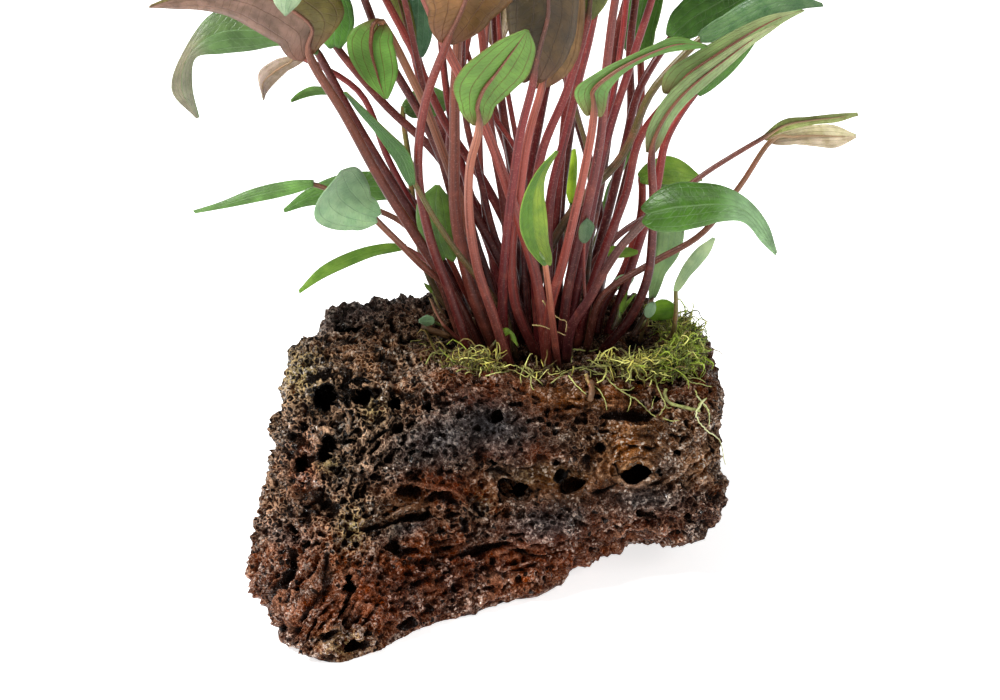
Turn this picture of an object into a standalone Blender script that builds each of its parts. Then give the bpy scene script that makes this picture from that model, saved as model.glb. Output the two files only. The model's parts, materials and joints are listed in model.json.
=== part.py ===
"""Cryptocoryne rooted on a porous lava stone, as separate solid pieces.

Metres, +Z up, +Y away from the viewer. The origin is the middle of the flat
foot that the stone stands on.
"""
import math

import bmesh
import bpy
import numpy as np
from mathutils import Matrix, Vector, kdtree, noise
from mathutils.bvhtree import BVHTree

MM = 0.001

# Real sizes that drive the model
SEAT_HEIGHT = 0.060
STALK_FOOT_RADIUS = 0.0017
STALK_NECK_RADIUS = 0.00125
BLADE_HALF_THICKNESS = 0.00042
GAP = 0.0003

# How the reference view looks at the object
VIEW_TILT = math.radians(20.0)
VIEW_DISTANCE = 0.800
MM_PER_PIXEL = 0.3
VIEW_CENTRE = (500.0, 350.0)
AIM = np.array((0.0, 0.020, 0.062))

VIEW_SLOPE = MM_PER_PIXEL * MM / VIEW_DISTANCE
VIEW_FORWARD = np.array((0.0, math.cos(VIEW_TILT), -math.sin(VIEW_TILT)))
VIEW_UP = np.array((0.0, math.sin(VIEW_TILT), math.cos(VIEW_TILT)))
EYE = AIM - VIEW_FORWARD * VIEW_DISTANCE


def view_ray(px, py):
    """Direction from the eye through a point of the view."""
    across = (px - VIEW_CENTRE[0]) * VIEW_SLOPE
    up = -(py - VIEW_CENTRE[1]) * VIEW_SLOPE
    return VIEW_FORWARD + VIEW_UP * up + np.array((across, 0.0, 0.0))


def seen_at(px, py, depth):
    """Point seen at (px, py) whose Y is depth, in millimetres."""
    ray = view_ray(px, py)
    return EYE + ray * ((depth * MM - EYE[1]) / ray[1])


# Leaves. Each has: name, foot and stalk points from foot to neck (px, py),
# depth of the neck in mm, blade, depth change from neck to tip in mm,
# how far the two edges stand back of the midrib, as a share of half the width.
# A blade is a list of stations (one edge, other edge) that ends in the tip, or
# GROWN with heading, first and last rise in degrees, length and half width in mm, roll.
GROWN = "grown"
LEAVES = [
    ("leaf_pink_left", [(484, 352), (457, 300), (437, 272), (402, 212), (368, 160), (340, 106),
                        (309, 55)], -6,
     [(314, 50, 304, 58), (345, 22, 290, 50), (330, -8, 262, 34), (290, -28, 232, 18), (245, -30, 205, 10),
      (200, -18, 175, 9), (150, 6)], -10, (0.35, 0.35)),
    ("leaf_curled_left", [(476, 343), (452, 285), (430, 250), (407, 212), (372, 152), (343, 100),
                          (318, 50)], 12,
     [(320, 46, 316, 54), (290, 25, 285, 46), (250, 10, 250, 51), (215, 12, 222, 54), (196, 32, 203, 56),
      (178, 62, 193, 62), (172, 88, 192, 84), (182, 110, 195, 104), (198, 118)], -6, (0.5, -0.3)),
    ("leaf_small_beige_left", [(468, 334), (440, 260), (410, 200), (392, 170), (372, 110), (350, 82),
                               (332, 60),
                               (304, 57)], 28,
     [(304, 55, 303, 60), (285, 57, 286, 72), (268, 64, 272, 86), (257, 78, 265, 95),
      (263, 99)], -4, (0.3, 0.3)),
    ("leaf_small_green_left", [(462, 327), (430, 262), (395, 205), (365, 150), (345, 108), (332, 91)], 44,
     [(332, 89, 332, 94), (316, 86, 316, 95), (302, 90, 303, 98), (291, 101)], -4, (0.3, 0.3)),
    ("leaf_olive_top_left", [(528, 340), (500, 260), (480, 225), (460, 190), (432, 148), (410, 124),
                             (380, 100),
                             (355, 70), (335, 47)], 22,
     [(331, 47, 339, 46), (318, 28, 353, 30), (300, 0, 350, 0), (280, -30, 330, -30), (262, -55, 300, -58),
      (250, -80)], 12, (0.3, 0.3)),
    ("leaf_red_stalk_a", [(505, 341), (478, 262), (452, 192), (428, 132), (412, 105), (390, 65),
                          (372, 25), (358, 0),
                          (348, -20)], 8,
     (GROWN, 200, 58, 12, 52, 12, 15), 0, (0.3, 0.3)),
    ("leaf_dark_stalk_b", [(530, 348), (520, 262), (505, 212), (490, 192), (475, 175), (458, 150),
                           (435, 100),
                           (420, 65), (405, 35), (388, 0), (378, -28)], 38,
     (GROWN, 150, 66, 18, 50, 13, -10), 0, (0.3, 0.3)),
    ("leaf_hanging_green", [(497, 334), (480, 262), (452, 175), (424, 105), (412, 78), (395, 45),
                            (380, 27)], 3,
     [(375, 23, 382, 28), (355, 27, 390, 37), (347, 46, 396, 55), (354, 66, 398, 72), (366, 82, 394, 86),
      (386, 99)], -8, (0.35, 0.1)),
    ("leaf_long_front_stalk", [(547, 350), (541, 300), (530, 260), (510, 195), (498, 160), (484, 125),
                               (468, 90),
                               (447, 50), (430, 20), (418, 0), (405, -26)], -26,
     (GROWN, 215, 62, 5, 50, 13, 10), 0, (0.3, 0.3)),
    ("leaf_sheathed_stalk", [(498, 355), (480, 312), (468, 275), (459, 235), (455, 200), (455, 105),
                             (457, 60),
                             (462, 30), (470, -12)], -8,
     (GROWN, 150, 74, 35, 48, 12, 0), 0, (0.3, 0.3)),
    ("leaf_behind_sheath", [(488, 345), (472, 280), (456, 210), (450, 145), (454, 100), (462, 65), (470, 25),
                            (478, -6)], 42,
     (GROWN, 100, 70, 20, 46, 12, 0), 0, (0.3, 0.3)),
    ("leaf_big_brown", [(474, 336), (452, 300), (430, 240), (419, 185), (419, 150), (427, 90), (435, 60),
                        (447, 42)],
     -30,
     [(443, 40, 451, 42), (434, 18, 478, 28, 455, 24), (422, -8, 512, 2, 467, -4),
      (420, -40, 520, -35, 474, -38),
      (430, -75, 508, -70), (446, -105, 488, -102), (466, -128)], -14, (0.3, 0.3)),
    ("leaf_light_front", [(510, 357), (490, 305), (478, 270), (471, 230), (468, 200), (471, 155),
                          (478, 125)], -36,
     [(474, 124, 482, 124), (462, 110, 490, 111), (453, 90, 508, 95), (463, 69, 526, 78), (485, 50, 534, 58),
      (506, 37, 535, 42), (527, 30)], -8, (-0.25, 0.35)),
    ("leaf_big_dark", [(506, 349), (503, 325), (504, 290), (507, 235), (512, 190), (518, 145),
                       (528, 100), (533, 78)],
     -20,
     [(529, 78, 537, 77), (516, 55, 563, 63, 537, 60), (508, 25, 575, 30, 544, 28), (507, 0, 578, 0, 550, 0),
      (512, -35, 578, -35), (522, -70, 573, -70), (540, -100, 565, -100), (556, -122)], -16, (0.25, 0.35)),
    ("leaf_pink_front_stalk", [(538, 358), (527, 335), (516, 305), (512, 265), (513, 240), (519, 200),
                               (526, 150),
                               (535, 100), (541, 86)], -8,
     [(538, 88, 544, 86), (536, 66, 566, 76), (535, 40, 580, 48), (540, 5, 585, 12), (550, -35, 585, -30),
      (572, -65)], 6, (0.3, 0.3)),
    ("leaf_olive_top", [(540, 345), (536, 290), (533, 230), (535, 175), (541, 155), (552, 125),
                        (566, 95), (575, 55),
                        (587, 18)], 2,
     [(583, 18, 591, 18), (572, -2, 608, -4), (568, -30, 616, -32), (575, -62, 615, -64),
      (590, -92, 610, -94),
      (603, -112)], -10, (0.3, 0.3)),
    ("leaf_stalk_c", [(551, 342), (548, 262), (549, 230), (551, 190), (557, 155), (573, 112), (583, 70),
                      (590, 35),
                      (603, 5), (612, -26)], 14,
     (GROWN, 330, 70, 25, 46, 12, 0), 0, (0.3, 0.3)),
    ("leaf_stalk_d", [(556, 334), (558, 280), (560, 212), (565, 165), (572, 115), (578, 60), (588, 10),
                      (592, -14)],
     62,
     (GROWN, 80, 64, 10, 48, 13, 0), 0, (0.3, 0.3)),
    ("leaf_stalk_e", [(560, 351), (568, 290), (580, 240), (590, 195), (597, 160), (603, 120), (606, 80),
                      (609, 40),
                      (616, 0), (622, -18)], -10,
     (GROWN, 290, 64, 5, 50, 13, 0), 0, (0.3, 0.3)),
    ("leaf_stalk_f", [(568, 334), (578, 290), (592, 235), (604, 165), (612, 100), (615, 45), (623, 0),
                      (630, -32)],
     50,
     (GROWN, 40, 66, 12, 48, 12, 0), 0, (0.3, 0.3)),
    ("leaf_stalk_g", [(571, 349), (577, 295), (585, 250), (594, 200), (602, 165), (608, 135), (620, 105),
                      (628, 80),
                      (636, 45), (645, 0), (652, -24)], 18,
     (GROWN, 345, 60, 5, 50, 12, 0), 0, (0.3, 0.3)),
    ("leaf_stalk_h", [(586, 338), (596, 270), (606, 220), (622, 150), (629, 125), (633, 100), (630, 60),
                      (630, 30),
                      (633, 0), (636, -22)], 70,
     (GROWN, 65, 60, 8, 46, 12, 0), 0, (0.3, 0.3)),
    ("leaf_stalk_i", [(538, 330), (524, 240), (514, 165), (506, 130), (500, 100), (497, 60), (496, 20),
                      (494, -20)], 54,
     (GROWN, 95, 66, 14, 48, 12, 0), 0, (0.3, 0.3)),
    ("leaf_stalk_j", [(521, 345), (511, 250), (503, 190), (496, 150), (490, 120), (486, 80), (482, 20),
                      (480, -30)], 26,
     (GROWN, 190, 70, 20, 46, 12, 0), 0, (0.3, 0.3)),
    ("leaf_stalk_k", [(545, 326), (532, 260), (528, 200), (535, 148), (543, 105), (552, 60), (560, 10),
                      (566, -20)], 68,
     (GROWN, 60, 62, 10, 48, 12, 0), 0, (0.3, 0.3)),
    ("leaf_stalk_l", [(590, 330), (594, 280), (601, 240), (597, 200), (586, 150), (573, 105), (562, 60),
                      (553, 10),
                      (547, -30)], 66,
     (GROWN, 75, 80, 52, 38, 10, 0), 0, (0.3, 0.3)),
    ("leaf_upright_behind", [(592, 329), (602, 270), (620, 190), (636, 125), (640, 100), (641, 80),
                             (640, 58)], 78,
     [(636, 60, 643, 58), (621, 42, 652, 40), (621, 18, 660, 14), (626, -10, 665, -12), (636, -40, 662, -42),
      (652, -70)], 14, (-0.3, -0.3)),
    ("leaf_top_right", [(578, 343), (596, 285), (615, 190), (634, 110), (644, 75), (655, 60), (671, 37)], 60,
     [(669, 35, 673, 39), (672, 14, 696, 34), (690, -5, 722, 26), (715, -22, 750, 11), (742, -32, 772, -4),
      (790, -30)], 6, (0.4, -0.2)),
    ("leaf_blue_right", [(532, 331), (540, 280), (548, 240), (560, 225), (590, 190), (608, 168), (632, 145),
                         (641, 112), (665, 70), (678, 53), (699, 38)], 42,
     [(699, 35, 702, 41), (715, 22, 720, 41), (745, 2, 750, 30), (775, -10, 782, 14), (800, -5, 806, 9),
      (823, 5)], 2, (0.5, -0.3)),
    ("leaf_pale_arching", [(575, 357), (590, 290), (610, 235), (620, 212), (628, 185), (636, 148),
                           (650, 118),
                           (660, 105), (675, 92)], 16,
     [(672, 89, 678, 95), (657, 80, 692, 92), (674, 66, 714, 74), (700, 50, 737, 56), (732, 31, 762, 38),
      (768, 16, 784, 22), (803, 10)], -8, (0.3, 0.1)),
    ("leaf_grey_arching", [(602, 342), (615, 333), (630, 318), (640, 300), (647, 280), (652, 240),
                           (653, 190),
                           (651, 152)], 4,
     [(648, 151, 654, 152), (646, 136, 664, 134), (655, 112, 679, 112), (676, 86, 701, 89),
      (702, 66, 725, 70),
      (735, 45, 750, 46), (776, 25)], -10, (0.2, 0.5)),
    ("leaf_bright_behind_right", [(606, 330), (630, 270), (648, 215), (656, 190), (660, 165), (668, 135),
                                  (676, 118),
                                  (697, 93)], 40,
     [(695, 91, 699, 95), (700, 76, 716, 86), (722, 56, 739, 64), (742, 38, 753, 44),
      (763, 24)], 0, (0.3, 0.3)),
    ("leaf_heart_centre", [(546, 362), (547, 340), (550, 310), (560, 275), (571, 230), (580, 190),
                           (588, 150),
                           (593, 112)], -34,
     [(590, 111, 596, 112), (571, 98, 604, 98), (587, 79, 617, 80), (615, 63, 634, 66), (645, 49, 655, 56),
      (672, 37, 683, 50), (707, 46)], -4, (0.1, 0.6)),
    ("leaf_folded_centre", [(558, 360), (552, 320), (549, 290), (547, 265)], -32,
     [(544, 265, 549, 264), (527, 246, 549, 248), (520, 225, 547, 222), (524, 195, 544, 192),
      (538, 170, 546, 174),
      (557, 151)], -4, (-0.5, 0.5)),
    ("leaf_glossy_right", [(566, 361), (570, 330), (586, 305), (602, 275), (622, 245), (640, 222),
                           (647, 214)], -20,
     [(646, 211, 647, 217), (658, 190, 656, 230), (685, 183, 684, 231), (718, 185, 714, 223),
      (744, 197, 738, 220),
      (764, 217, 756, 236), (776, 254)], -6, (0.7, -0.2)),
    ("leaf_far_right_upper", [(563, 342), (572, 305), (590, 270), (613, 241), (628, 232), (660, 208),
                              (690, 186),
                              (720, 163), (750, 145), (765, 138)], 32,
     [(764, 136, 766, 140), (780, 121, 784, 133), (808, 117, 812, 125), (835, 114, 838, 122), (858, 114)], 0,
     (0.7, -0.4)),
    ("leaf_far_right_lower", [(582, 351), (600, 300), (625, 273), (650, 264), (682, 250), (700, 235),
                              (718, 220),
                              (737, 190), (750, 170), (762, 155), (772, 141)], 12,
     [(771, 139, 773, 143), (797, 128, 800, 145), (820, 125, 825, 147), (838, 126, 840, 147),
      (856, 136)], -4,
     (0.5, -0.3)),
    ("leaf_speckled_right", [(632, 334), (645, 315), (652, 298)], 42,
     [(650, 297, 655, 297), (651, 278, 664, 276), (654, 252, 681, 250), (655, 228, 684, 226),
      (656, 204, 680, 202),
      (659, 185, 672, 184), (664, 169)], 8, (0.3, 0.3)),
    ("leaf_small_light_right", [(646, 357), (658, 349), (673, 333), (676, 310), (676, 291)], 8,
     [(673, 290, 679, 291), (680, 272, 692, 273), (693, 252, 707, 257), (714, 238)], -2, (0.3, 0.3)),
    ("leaf_round_left", [(480, 329), (450, 290), (432, 275), (413, 256), (395, 238), (377, 218)], -12,
     [(378, 213, 375, 222), (371, 196, 352, 230), (366, 178, 320, 225), (357, 168, 314, 206),
      (350, 166, 331, 188),
      (340, 172)], -4, (0.5, -0.2)),
    ("leaf_narrow_far_left", [(466, 320), (436, 262), (412, 228), (395, 217), (379, 211), (345, 195),
                              (313, 183)], 10,
     [(314, 181, 313, 185), (290, 181, 292, 194), (258, 187, 262, 201), (226, 200, 232, 207),
      (194, 212)], -2,
     (0.6, -0.4)),
    ("leaf_behind_round", [(474, 315), (450, 262), (425, 212), (410, 197)], 30,
     [(410, 194, 409, 199), (385, 176, 388, 201), (350, 173, 352, 203), (318, 183, 322, 205),
      (298, 196, 302, 207),
      (284, 211)], 0, (0.5, -0.2)),
    ("leaf_narrow_low_left", [(471, 345), (455, 300), (438, 262), (420, 249), (408, 246)], 20,
     [(408, 244, 408, 248), (386, 243, 384, 253), (350, 252, 350, 266), (322, 266, 326, 277),
      (299, 292)], -6,
     (0.5, -0.2)),
    ("leaf_strap_left", [(516, 341), (497, 311), (480, 285), (465, 265), (440, 228), (425, 203),
                         (412, 184)], -14,
     [(409, 186, 416, 183), (398, 166, 413, 160), (382, 141, 395, 138), (364, 119, 373, 117), (345, 92)], -2,
     (0.5, -0.5)),
    ("leaf_olive_oval", [(482, 318), (470, 300), (458, 283), (445, 258)], 16,
     [(442, 257, 448, 258), (424, 243, 455, 246), (417, 222, 458, 224), (420, 200, 455, 202),
      (430, 187, 448, 189),
      (440, 183)], 2, (0.3, 0.3)),
    ("leaf_green_behind_left", [(490, 324), (437, 298), (428, 275), (418, 240), (413, 200), (409, 160),
                                (404, 108)],
     56,
     [(403, 106, 406, 110), (412, 92, 412, 117), (430, 86, 432, 117), (444, 92, 446, 110), (455, 101)], 6,
     (0.3, 0.3)),
    ("leaf_dark_upright_left", [(500, 322), (478, 250), (452, 160), (430, 95), (418, 56)], 72,
     [(415, 55, 421, 56), (406, 40, 430, 42), (402, 10, 434, 12), (402, -25, 436, -22), (410, -55, 430, -53),
      (422, -80)], 14, (-0.3, -0.3)),
    ("leaf_pink_behind", [(524, 325), (515, 235), (508, 150), (492, 100), (493, 70), (495, 45)], 76,
     [(492, 44, 498, 45), (486, 28, 507, 30), (486, 5, 513, 8), (492, -25, 514, -22), (505, -55)], 14,
     (-0.3, -0.3)),
    ("leaf_bright_right", [(596, 345), (603, 305), (622, 275), (633, 245), (641, 215), (640, 178)], 46,
     [(639, 176, 641, 180), (650, 162, 655, 184), (668, 156, 675, 185), (685, 163, 690, 185), (702, 179)], 4,
     (0.5, -0.3)),
    ("leaf_yellow_edge", [(548, 323), (558, 270), (571, 203)], 66,
     [(569, 203, 574, 203), (566, 185, 576, 185), (567, 165, 577, 163), (574, 149)], 6, (0.6, 0.6)),
    ("leaf_narrow_behind", [(574, 325), (590, 270), (605, 216)], 60,
     [(603, 216, 608, 215), (609, 196, 618, 194), (619, 175, 627, 173), (631, 153)], 6, (0.5, 0.5)),
    ("leaf_grey_between", [(562, 325), (580, 290), (584, 247)], 34,
     [(582, 247, 587, 247), (577, 235, 592, 234), (588, 217)], 0, (0.3, 0.3)),
    ("leaf_bright_short", [(585, 323), (592, 285), (602, 251)], 30,
     [(601, 249, 603, 253), (614, 245, 614, 257), (627, 247, 627, 257), (638, 252)], 0, (0.5, -0.3)),
    ("leaf_round_bright", [(640, 328), (645, 322), (650, 317)], 30,
     [(650, 314, 652, 319), (656, 301, 660, 320), (668, 300, 672, 318), (678, 309)], -4, (0.4, -0.2)),
    ("leaf_spoon_left", [(460, 343), (447, 330), (434, 321)], 22,
     [(434, 318, 434, 323), (427, 315, 427, 326), (419, 321)], -2, (0.4, 0.0)),
]

# Depths in mm of the frontmost and backmost neck, and of their feet on the seat
NECK_DEPTHS = (-36.0, 78.0)
FOOT_DEPTHS = (9.5, 48.0)

# Stalk radii in mm (foot, neck) where they differ from the usual ones
STALK_RADII = {
    "leaf_sheathed_stalk": (2.4, 1.35),
    "leaf_long_front_stalk": (1.9, 1.35),
    "leaf_pink_left": (1.9, 1.4),
    "leaf_small_beige_left": (1.3, 0.95),
    "leaf_small_green_left": (1.2, 0.85),
    "leaf_folded_centre": (1.2, 0.9),
    "leaf_far_right_upper": (1.3, 0.8),
    "leaf_far_right_lower": (1.3, 0.85),
    "leaf_speckled_right": (1.1, 0.8),
    "leaf_small_light_right": (0.9, 0.7),
    "leaf_round_left": (1.3, 1.0),
    "leaf_narrow_far_left": (1.2, 0.8),
    "leaf_behind_round": (1.2, 0.9),
    "leaf_narrow_low_left": (1.1, 0.7),
    "leaf_strap_left": (1.2, 0.8),
    "leaf_olive_oval": (1.2, 0.9),
    "leaf_green_behind_left": (1.4, 0.9),
    "leaf_yellow_edge": (1.0, 0.7),
    "leaf_narrow_behind": (1.0, 0.7),
    "leaf_grey_between": (0.9, 0.6),
    "leaf_bright_short": (0.9, 0.6),
    "leaf_round_bright": (0.7, 0.5),
    "leaf_spoon_left": (0.6, 0.45),
}


def spline(points, count):
    """Evenly spaced points on a smooth curve through the given points."""
    points = np.asarray(points, dtype=float)
    if len(points) == 2:
        steps = np.linspace(0.0, 1.0, count)[:, None]
        return points[0] * (1.0 - steps) + points[1] * steps
    ends = [2.0 * points[0] - points[1], *points, 2.0 * points[-1] - points[-2]]
    fine = []
    for i in range(1, len(ends) - 2):
        a, b, c, d = ends[i - 1], ends[i], ends[i + 1], ends[i + 2]
        for t in np.linspace(0.0, 1.0, 12, endpoint=False):
            fine.append(0.5 * (2 * b + (c - a) * t + (2 * a - 5 * b + 4 * c - d) * t ** 2
                               + (3 * b - a - 3 * c + d) * t ** 3))
    fine.append(points[-1])
    fine = np.array(fine)
    lengths = np.linalg.norm(np.diff(fine[:, :3], axis=0), axis=1)
    along = np.concatenate(([0.0], np.cumsum(lengths)))
    wanted = np.linspace(0.0, along[-1], count)
    return np.stack([np.interp(wanted, along, fine[:, k]) for k in range(fine.shape[1])], axis=1)


def foot_place(px, neck_depth):
    """Place of a foot on the seat: the further forward a leaf leans, the nearer its foot."""
    lean = (neck_depth - NECK_DEPTHS[0]) / (NECK_DEPTHS[1] - NECK_DEPTHS[0])
    depth = FOOT_DEPTHS[0] + (FOOT_DEPTHS[1] - FOOT_DEPTHS[0]) * lean
    place = np.array((0.0, depth * MM, SEAT_HEIGHT))
    ahead = (place - EYE) @ VIEW_FORWARD
    place[0] = (px - VIEW_CENTRE[0]) * VIEW_SLOPE * ahead
    return place


def spread_feet(feet, radii):
    """Moves the feet apart on the seat until none touch."""
    feet = feet.copy()
    for _ in range(400):
        worst = 0.0
        for i in range(len(feet)):
            for j in range(i + 1, len(feet)):
                apart = feet[j] - feet[i]
                apart[2] = 0.0
                length = np.linalg.norm(apart)
                missing = radii[i] + radii[j] + 1.6 * GAP - length
                if missing > 0.0:
                    step = apart / max(length, 1e-6) * missing * 0.5
                    feet[i] -= step
                    feet[j] += step
                    worst = max(worst, missing)
        if worst < 1e-6:
            break
    return feet


def stalk_points(route, foot, neck_depth):
    """Stalk centre line in space, from foot to neck."""
    flat = np.array(route, dtype=float)
    steps = np.concatenate(([0.0], np.cumsum(np.linalg.norm(np.diff(flat, axis=0), axis=1))))
    share = steps / steps[-1]
    foot_depth = foot[1] / MM
    line = [foot]
    for (px, py), t in list(zip(route, share))[1:]:
        depth = foot_depth + (neck_depth - foot_depth) * t ** 1.15
        line.append(seen_at(px, py, depth))
    return np.array(line)


def seen_blade(stations, neck_depth, change, edges):
    """Edge, midrib, edge rows of a blade whose outline is seen in the view."""
    rows = []
    last = len(stations) - 1
    for i, station in enumerate(stations):
        depth = neck_depth + change * (i / last) ** 1.2
        if len(station) == 2:
            tip = seen_at(station[0], station[1], depth)
            side = rows[-1][2] - rows[-1][0]
            side = side / np.linalg.norm(side) * 0.0005
            rows.append((tip - side, tip, tip + side))
            continue
        one = np.array(station[:2], dtype=float)
        other = np.array(station[2:4], dtype=float)
        middle = np.array(station[4:6], dtype=float) if len(station) == 6 else (one + other) / 2
        half = np.linalg.norm(other - one) * MM_PER_PIXEL / 2
        rows.append((
            seen_at(one[0], one[1], depth + edges[0] * half),
            seen_at(middle[0], middle[1], depth),
            seen_at(other[0], other[1], depth + edges[1] * half),
        ))
    return np.array(rows)


BLADE_OUTLINE = [(0.0, 0.10), (0.06, 0.62), (0.2, 0.93), (0.38, 1.0), (0.58, 0.84), (0.78, 0.5), (0.92, 0.2),
                 (1.0, 0.04)]


def grown_blade(neck, heading, first_rise, last_rise, length, half_width, roll):
    """Edge, midrib, edge rows of a blade that arches out from its neck."""
    heading = math.radians(heading)
    ahead = np.array((math.cos(heading), math.sin(heading), 0.0))
    across = np.array((-math.sin(heading), math.cos(heading), 0.0))
    rows = []
    point = np.array(neck, dtype=float)
    before = 0.0
    for s, width in BLADE_OUTLINE:
        rise = math.radians(first_rise + (last_rise - first_rise) * (s + before) / 2)
        direction = ahead * math.cos(rise) + np.array((0.0, 0.0, math.sin(rise)))
        point = point + direction * length * MM * (s - before)
        before = s
        lift = np.cross(direction, across)
        turn = math.radians(roll)
        side = across * math.cos(turn) + lift * math.sin(turn)
        cup = -lift * 0.22 * half_width * width * MM
        half = side * half_width * width * MM
        rows.append((point - half + cup, point, point + half + cup))
    return np.array(rows)


def leaf_lines():
    """Centre line and blade rows of every leaf, feet spread on the seat."""
    names = [leaf[0] for leaf in LEAVES]
    radii = []
    feet = []
    for leaf in LEAVES:
        foot_mm = STALK_RADII.get(leaf[0], (STALK_FOOT_RADIUS / MM, 0))[0]
        radii.append(foot_mm * MM)
        feet.append(foot_place(leaf[1][0][0], leaf[2]))
    feet = spread_feet(np.array(feet), radii)
    lines = {}
    for name, foot, (_, route, neck_depth, blade, change, edges) in zip(names, feet, LEAVES):
        line = stalk_points(route, foot + np.array((0.0, 0.0, GAP)), neck_depth)
        if blade[0] == GROWN:
            rows = grown_blade(line[-1], *blade[1:])
        else:
            rows = seen_blade(blade, neck_depth, change, edges)
            line[-1] = rows[0][1]
        lines[name] = (line, rows)
    return lines


KNOTS = 30
STALK_SHARE = 16
ROOM = 0.00028
BLADE_ROOM = 0.0011
LEEWAY = 0.0015


def leaf_samples(name, line, rows):
    """Points, radii and knot numbers that stand for a leaf when leaves are pushed apart."""
    foot_mm, neck_mm = STALK_RADII.get(name, (STALK_FOOT_RADIUS / MM, STALK_NECK_RADIUS / MM))
    count = STALK_SHARE * 2 + 4
    share = np.linspace(0.0, 1.0, count)
    points = [spline(line, count)]
    radii = [(foot_mm + (neck_mm - foot_mm) * share) * MM + ROOM]
    knots = [share * (STALK_SHARE - 1)]
    count = 20
    share = np.linspace(0.0, 1.0, count)
    fine = spline(rows.reshape(len(rows), 9)[:, [3, 4, 5, 0, 1, 2, 6, 7, 8]], count)
    middle, one, other = fine[:, 0:3], fine[:, 3:6], fine[:, 6:9]
    for u in np.linspace(-0.97, 0.97, 9):
        points.append(middle + (other - one) / 2 * u + ((one + other) / 2 - middle) * u * u)
        radii.append(np.full(count, BLADE_ROOM))
        knots.append(STALK_SHARE - 1 + share * (KNOTS - STALK_SHARE))
    return np.concatenate(points), np.concatenate(radii), np.concatenate(knots)


def close_pairs(points, radii, owner):
    """Pairs of samples of different leaves that lie near one another in the view."""
    reach = np.linalg.norm(points - EYE, axis=1)
    toward = (points - EYE) / reach[:, None]
    tree = kdtree.KDTree(len(points))
    for i, direction in enumerate(toward):
        tree.insert(direction, i)
    tree.balance()
    widest = radii.max()
    first, second = [], []
    for i, direction in enumerate(toward):
        for _, j, spread in tree.find_range(direction, (radii[i] + widest + LEEWAY) / reach[i]):
            if owner[j] > owner[i] and abs(reach[j] - reach[i]) < 0.012:
                first.append(i)
                second.append(j)
    return np.array(first), np.array(second)


def push_apart(lines):
    """Offsets in space along each leaf so that no two leaves meet."""
    names = list(lines)
    sets = [leaf_samples(n, *lines[n]) for n in names]
    points = np.concatenate([s[0] for s in sets])
    radii = np.concatenate([s[1] for s in sets])
    knots = np.minimum(np.concatenate([s[2] for s in sets]), KNOTS - 1.001)
    owner = np.concatenate([np.full(len(s[0]), k) for k, s in enumerate(sets)])
    first, second = close_pairs(points, radii, owner)
    together = radii[first] + radii[second]
    low = knots.astype(int)
    part = (knots - low)[:, None]
    offsets = np.zeros((len(names), KNOTS, 3))
    free = np.clip(np.arange(KNOTS) / 1.5, 0.0, 1.0)[None, :, None]
    steps = 420
    for turn in range(steps):
        places = points + offsets[owner, low] * (1.0 - part) + offsets[owner, low + 1] * part
        apart = places[second] - places[first]
        length = np.linalg.norm(apart, axis=1)
        missing = together - length
        met = np.nonzero(missing > 0.0)[0]
        if len(met) == 0 or missing[met].max() < 0.00003:
            break
        move = apart[met] / np.maximum(length[met], 1e-6)[:, None] * missing[met][:, None] * 0.5
        ahead = np.zeros_like(offsets)
        back = np.zeros_like(offsets)
        for k in (0, 1):
            np.maximum.at(ahead, (owner[second[met]], low[second[met]] + k), move)
            np.maximum.at(ahead, (owner[first[met]], low[first[met]] + k), -move)
            np.minimum.at(back, (owner[second[met]], low[second[met]] + k), move)
            np.minimum.at(back, (owner[first[met]], low[first[met]] + k), -move)
        pushes = ahead + back
        padded = np.pad(pushes, ((0, 0), (1, 1), (0, 0)), mode="edge")
        smooth = (padded[:, :-2] + padded[:, 2:] + 2 * padded[:, 1:-1]) / 4
        offsets += (pushes * 0.5 + smooth * 0.5) * free
        if turn < steps - 120:
            padded = np.pad(offsets, ((0, 0), (1, 1), (0, 0)), mode="edge")
            offsets = offsets * 0.92 + (padded[:, :-2] + padded[:, 2:]) * 0.0395
            offsets *= free
    return {name: offsets[k] for k, name in enumerate(names)}


def shifted(points, knots, offset):
    """Points moved by the offset at their knots."""
    moves = [np.interp(knots, np.arange(KNOTS), offset[:, k]) for k in range(3)]
    return points + np.stack(moves, axis=1)


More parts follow.
